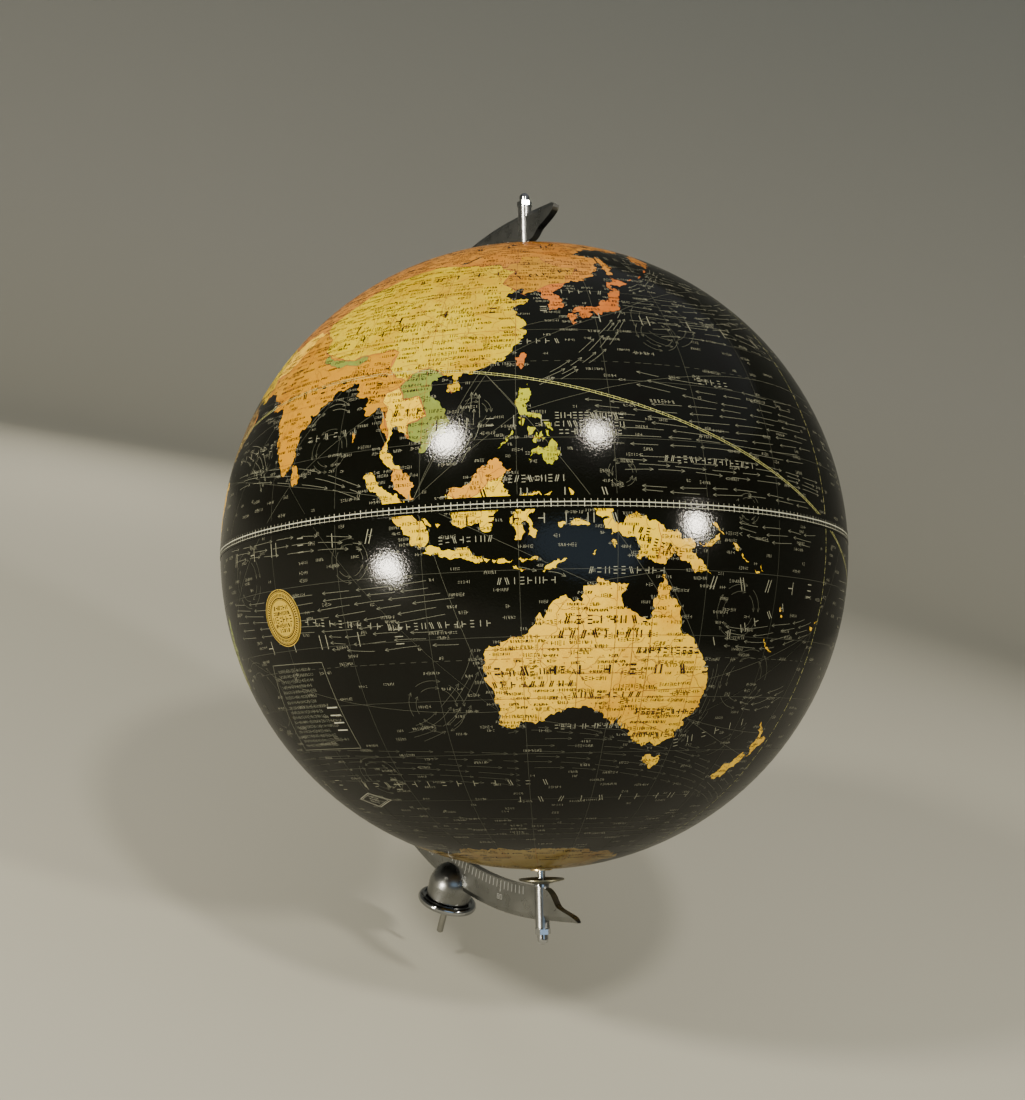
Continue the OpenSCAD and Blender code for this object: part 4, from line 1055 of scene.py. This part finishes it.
def rivers_and_borders(ink):
    """Rivers wander over the land from seeded springs; frontiers follow the countries' outlines."""
    for _, ring in OVERLAYS + ISLAND_OVERLAYS:
        ink.path(ring + ring[:1], 0.22, FRONTIER)
    springs = [(x, y) for x in steps(-165, 185, 5) for y in steps(-48, 70, 5)]
    for x, y in springs:
        for _ in range(2):
            lon, lat = x + rng.uniform(-2.4, 2.4), y + rng.uniform(-2.4, 2.4)
            heading = rng.uniform(0, 2 * math.pi)
            points = []
            for _ in range(rng.randint(8, 22)):
                points.append((lon, lat))
                heading += rng.gauss(0, 0.5)
                lon += 0.45 * math.cos(heading) / max(0.3, math.cos(math.radians(lat)))
                lat += 0.45 * math.sin(heading)
            ink.path(points, 0.12, RIVER)
    for corners in (((114, -22), (150, -22)), ((129, -15), (129, -31.6)), ((141, -17), (141, -38)),
                    ((138, -16.6), (138, -26)), ((129, -26), (141, -26)), ((141, -29), (153, -28.4)),
                    ((141, -34.2), (150, -37.4))):
        ink.path(list(corners), 0.2, RIVER)


def disc(ink, lon, lat, radius, tone, rings=14):
    """A filled round patch made of close rings."""
    mm_a_degree = 2.4    # a little over the true 2.2, so that the rings overlap
    for k in range(rings):
        around = steps(0, 2 * math.pi, math.pi / 20)
        ink.path(ring_points(lon, lat, radius * (k + 0.5) / rings, around), radius / rings * mm_a_degree, tone)


def seal(ink, marks):
    """A plain gold seal: a filled disc with rings, a border of small strokes and a few short bars."""
    lon, lat, radius = 75.4, -14.6, 4.7
    disc(ink, lon, lat, radius, GOLD, 26)
    for r, width in ((4.45, 0.5), (4.2, 0.2), (3.25, 0.5), (3.0, 0.2)):
        marks.path(ring_points(lon, lat, r, steps(0, 2 * math.pi, math.pi / 36)), width, GOLD_INK)
    spokes = steps(0, 2 * math.pi, math.pi / 30)
    for inner, outer in zip(ring_points(lon, lat, 3.5, spokes), ring_points(lon, lat, 4.0, spokes)):
        marks.stroke(*inner, *outer, 0.5, GOLD_INK)
    for row, letters, height in ((1.7, 6, 0.7), (0.8, 8, 0.6), (-0.2, 6, 0.95), (-1.2, 8, 0.6), (-2.0, 5, 0.6)):
        word(marks, lon, lat + row, letters, height, 0.38, GOLD_INK)


def legend(ink):
    """A ruled box of small print in the southern sea, and a little box below it."""
    corners = [(67.8, -22.1), (82.7, -22.4), (83.4, -38.0), (62.3, -38.0)]
    ink.path(corners + corners[:1], 0.26, SEA_ONLY)
    for row in range(16):
        lat = -23.3 - row * 0.92
        share = (lat + 22.1) / (-38 + 22.1)
        left, right = 67.8 - 5.5 * share + 1.2, 82.7 + 0.7 * share - 1.2
        reach = (right - left) * rng.uniform(0.72, 1.0)
        letters = int(reach * math.cos(math.radians(lat)) / (0.5 * 0.95))
        word(ink, left + reach / 2, lat, letters, 0.5, 0.17, SEA_ONLY, 0.95)
    for lat in (-30.2, -31.6, -33, -34.4):
        ink.stroke(79.6, lat, 82.4, lat, 0.5, LINES)
    box = [(74.6, -48.0), (81.1, -49.8), (74.1, -51.7), (68.2, -49.6)]
    middle = (sum(p[0] for p in box) / 4, sum(p[1] for p in box) / 4)
    for scale in (1.0, 0.84):
        inner = [(middle[0] + (x - middle[0]) * scale, middle[1] + (y - middle[1]) * scale) for x, y in box]
        ink.path(inner + inner[:1], 0.24 if scale == 1 else 0.14, LINES)
    for shift in (-0.55, 0.05, 0.65):
        word(ink, middle[0] + shift, middle[1] + shift, 6, 0.42, 0.13, LINES, 0.9, -0.33)


ink, marks, tape = Ink(), Ink(), Ink()
graticule(ink)
rivers_and_borders(ink)
sea_marks(ink)
ecliptic(ink)
small_words(ink)
for lon, lat, letters, height, width, spread, slope in BIG_WORDS:
    word(ink, lon, lat, letters, height, width, WORD, spread, slope)
legend(ink)
seal(ink, marks)

# the equator's ladder: a thick line, a thin one below it and a rung at each degree
for lat, width in ((0, 0.36), (-0.6, 0.14)):
    tape.path([(lon, lat) for lon in steps(WEST, EAST, 1.0)], width, WHITE_ALL)
for lon in range(WEST, EAST):
    tape.stroke(lon, -0.76, lon, 0.46, 0.12 if lon % 5 else 0.26, WHITE_ALL)
OFF_TAPE = TAPE_LAT + 0.05
PRINT_END = CALOTTE_LAT + 12
ink.pieces("north_ink", "printed_paper", lambda x, y: (y > OFF_TAPE) & (y < PRINT_END))
ink.pieces("south_ink", "printed_paper", lambda x, y: (y < -OFF_TAPE) & (y > -PRINT_END))
marks.pieces("seal_ink", "printed_paper", radius=GLOBE_R + INK_LIFT)
tape.pieces("equator_ink", "equator_paper", radius=TAPE_R)

# ---------------------------------------------------------------- the arm's cast degree scale

ARM_FACE = 1.65 * MM     # half the arm's thickness
DIGITS = {  # strokes of each digit on a cell one wide and two high
    0: [(0, 0, 0, 2), (0, 2, 1, 2), (1, 2, 1, 0), (1, 0, 0, 0)], 1: [(0.5, 0, 0.5, 2)],
    2: [(0, 2, 1, 2), (1, 2, 1, 1), (1, 1, 0, 1), (0, 1, 0, 0), (0, 0, 1, 0)],
    3: [(0, 2, 1, 2), (1, 2, 1, 0), (0, 0, 1, 0), (0.2, 1, 1, 1)], 4: [(0, 2, 0, 1), (0, 1, 1, 1), (1, 2, 1, 0)],
    5: [(1, 2, 0, 2), (0, 2, 0, 1), (0, 1, 1, 1), (1, 1, 1, 0), (1, 0, 0, 0)],
    6: [(1, 2, 0, 2), (0, 2, 0, 0), (0, 0, 1, 0), (1, 0, 1, 1), (1, 1, 0, 1)], 7: [(0, 2, 1, 2), (1, 2, 0.3, 0)],
    8: [(0, 0, 0, 2), (0, 2, 1, 2), (1, 2, 1, 0), (1, 0, 0, 0), (0, 1, 1, 1)],
}


# the scale's radii from the globe's centre, and the digits' height above them, in millimetres
TICK_START, SHORT_TICK, LONG_TICK, DIGIT_FOOT, DIGIT_UNIT = 134.5, 137.7, 139.2, 140.3, 0.9
DIGIT_PITCH, DIGIT_WIDTH, DIGIT_GAP = 0.75, 0.45, 0.2    # along the arm, in degrees
SUNK, RAISED = 0.05 * MM, 0.1 * MM                       # how deep each stroke sits in the face, and its height


def scale_strokes():
    """The ticks' and digits' strokes: degree and radius of both ends, and width in millimetres."""
    strokes = []
    for degree in range(4, 177):
        if degree % 10:
            strokes.append((degree, TICK_START, degree, SHORT_TICK, 0.26))
            continue
        strokes.append((degree, TICK_START, degree, LONG_TICK, 0.34))
        text = str(abs(90 - degree))
        for k, digit in enumerate(text):
            start = degree - (len(text) * DIGIT_PITCH - DIGIT_GAP) / 2 + k * DIGIT_PITCH
            for x0, y0, x1, y1 in DIGITS[int(digit)]:
                strokes.append((start + x0 * DIGIT_WIDTH, DIGIT_FOOT + y0 * DIGIT_UNIT,
                                start + x1 * DIGIT_WIDTH, DIGIT_FOOT + y1 * DIGIT_UNIT, 0.22))
    return strokes


def arm_scale():
    """Degree ticks along the arm's inner edge, and the latitude every ten degrees, raised on both faces."""
    strokes = scale_strokes()
    verts, faces = [], []
    for face in (1, -1):
        for a0, r0, a1, r1, width in strokes:
            ends = []
            for a, r in ((a0, r0), (a1, r1)):
                t = math.radians(a)
                ends.append(CENTRE + r * MM * (math.cos(t) * POLE + math.sin(t) * TOWARDS_ARM))
            along = ends[1] - ends[0]
            along /= np.linalg.norm(along)
            across = np.cross(SIDE, along) * width * MM / 2
            start = len(verts)
            for depth in (ARM_FACE - SUNK, ARM_FACE + RAISED):
                lift = SIDE * face * depth
                verts += [ends[0] - across + lift, ends[1] - across + lift,
                          ends[1] + across + lift, ends[0] + across + lift]
            quads = [(3, 2, 1, 0), (4, 5, 6, 7), (0, 1, 5, 4), (1, 2, 6, 5), (2, 3, 7, 6), (3, 0, 4, 7)]
            faces += [tuple(start + i for i in (q if face < 0 else q[::-1])) for q in quads]
    mesh = bpy.data.meshes.new("arm_scale")
    mesh.from_pydata([tuple(v) for v in verts], [], faces)
    add_piece("arm_scale", mesh, SCALE, "meridian")


arm_scale()

# ---------------------------------------------------------------- camera, floor and light

camera = bpy.data.objects.new("camera", bpy.data.cameras.new("camera"))
scene.collection.objects.link(camera)
scene.camera = camera
camera.data.sensor_width = 36
camera.data.lens = 48.28
CAMERA_FROM_CENTRE = Vector((-450.7, 397.5, 104.4)) * MM
camera.location = Vector(CENTRE) + CAMERA_FROM_CENTRE
right, up = Vector((-0.6002, -0.7642, 0.236)), Vector((0.2819, 0.0739, 0.9566))
back = right.cross(up).normalized()
up = back.cross(right).normalized()
right.normalize()
camera.rotation_mode = "QUATERNION"
camera.rotation_quaternion = Matrix((right, up, back)).transposed().to_quaternion()
camera.data.clip_start, camera.data.clip_end = 0.01, 20


def studio_bowl():
    """A pale seamless floor that curves up into a low wall all the way round, painted darker towards the wall's top
    as shade.
    """
    floor_z = cad_box[0].z - 12 * MM
    flat, curve, top = 1.3, 0.7, 1.9    # the flat part's radius, the curve's radius and the wall's height
    profile = [(0.001, 0), (flat * 0.5, 0), (flat, 0)]
    profile += [(flat + curve * math.sin(t), curve - curve * math.cos(t))
                for t in (math.radians(a) for a in range(5, 91, 5))]
    profile.append((flat + curve, top))
    mesh = bpy.data.meshes.new("studio_floor")
    turns = 96
    angles = [2 * math.pi * k / turns for k in range(turns)]
    verts = [(r * math.cos(a), r * math.sin(a), floor_z + z) for r, z in profile for a in angles]
    faces = [(i * turns + k, i * turns + (k + 1) % turns, (i + 1) * turns + (k + 1) % turns, (i + 1) * turns + k)
             for i in range(len(profile) - 1) for k in range(turns)]
    faces.append(tuple(reversed(range(turns))))
    mesh.from_pydata(verts, [], faces)
    mesh.polygons.foreach_set("use_smooth", [True] * len(mesh.polygons))
    bowl = bpy.data.objects.new("studio_floor", mesh)
    scene.collection.objects.link(bowl)
    mat, nodes, links, bsdf = new_material("seamless_cloth")
    coords = nodes.new("ShaderNodeTexCoord")
    split = nodes.new("ShaderNodeSeparateXYZ")
    links.new(coords.outputs["Object"], split.inputs["Vector"])
    # the cloth is darker up the wall: painted shade, where the lamps' light falls off
    tint = ramp(nodes, links, split.outputs["Z"],
                [(0.0, (0.32, 0.315, 0.265)), (0.25, (0.29, 0.29, 0.26)), (0.9, (0.2, 0.212, 0.202))])
    links.new(tint.outputs["Color"], bsdf.inputs["Base Color"])
    bsdf.inputs["Roughness"].default_value = 0.9
    mesh.materials.append(mat)


studio_bowl()


def lamp(name, direction, distance, size, power, colour=(1, 1, 1), flatness=1.0, mirrored=True):
    """A soft round or oval lamp; its direction is along the camera's right, up and backward axes."""
    data = bpy.data.lights.new(name, "AREA")
    data.shape, data.size, data.size_y, data.energy, data.color = "ELLIPSE", size, size * flatness, power, colour
    obj = bpy.data.objects.new(name, data)
    scene.collection.objects.link(obj)
    way = (right * direction[0] + up * direction[1] + back * direction[2]).normalized()
    obj.location = Vector(CENTRE) + way * distance
    obj.rotation_mode = "QUATERNION"
    obj.rotation_quaternion = way.to_track_quat("Z", "Y")
    obj.visible_camera = False
    obj.visible_glossy = mirrored


WARM, BLUE, DEEP_BLUE = (1.0, 0.92, 0.78), (0.5, 0.72, 1.0), (0.2, 0.34, 1.0)
# four room lamps and two windows, which show as highlights on the varnish, and two fills behind that don't
lamp("lamp_left", (-0.449, 0.59, 0.671), 1.16, 0.16, 16, WARM)
lamp("lamp_top", (0.316, 0.629, 0.71), 1.16, 0.12, 8, WARM)
lamp("lamp_low", (-0.748, -0.082, 0.659), 1.16, 0.17, 20, WARM)
lamp("lamp_right", (0.799, 0.157, 0.58), 1.16, 0.12, 11, WARM)
lamp("lamp_behind", (-0.35, 0.5, -0.8), 1.15, 0.5, 5, WARM, mirrored=False)
lamp("lamp_behind_right", (0.75, 0.3, -0.6), 1.15, 0.5, 3, WARM, mirrored=False)
lamp("window_far", (0.27, 0.04, 0.96), 1.2, 0.8, 1.1, BLUE, 0.45)
lamp("window_near", (-0.66, -0.48, 0.58), 1.2, 0.5, 1.1, DEEP_BLUE)

world = bpy.data.worlds.new("studio_world")
scene.world = world
world.use_nodes = True
world.node_tree.nodes["Background"].inputs["Color"].default_value = (0.95, 0.97, 1.0, 1)
world.node_tree.nodes["Background"].inputs["Strength"].default_value = 0.34
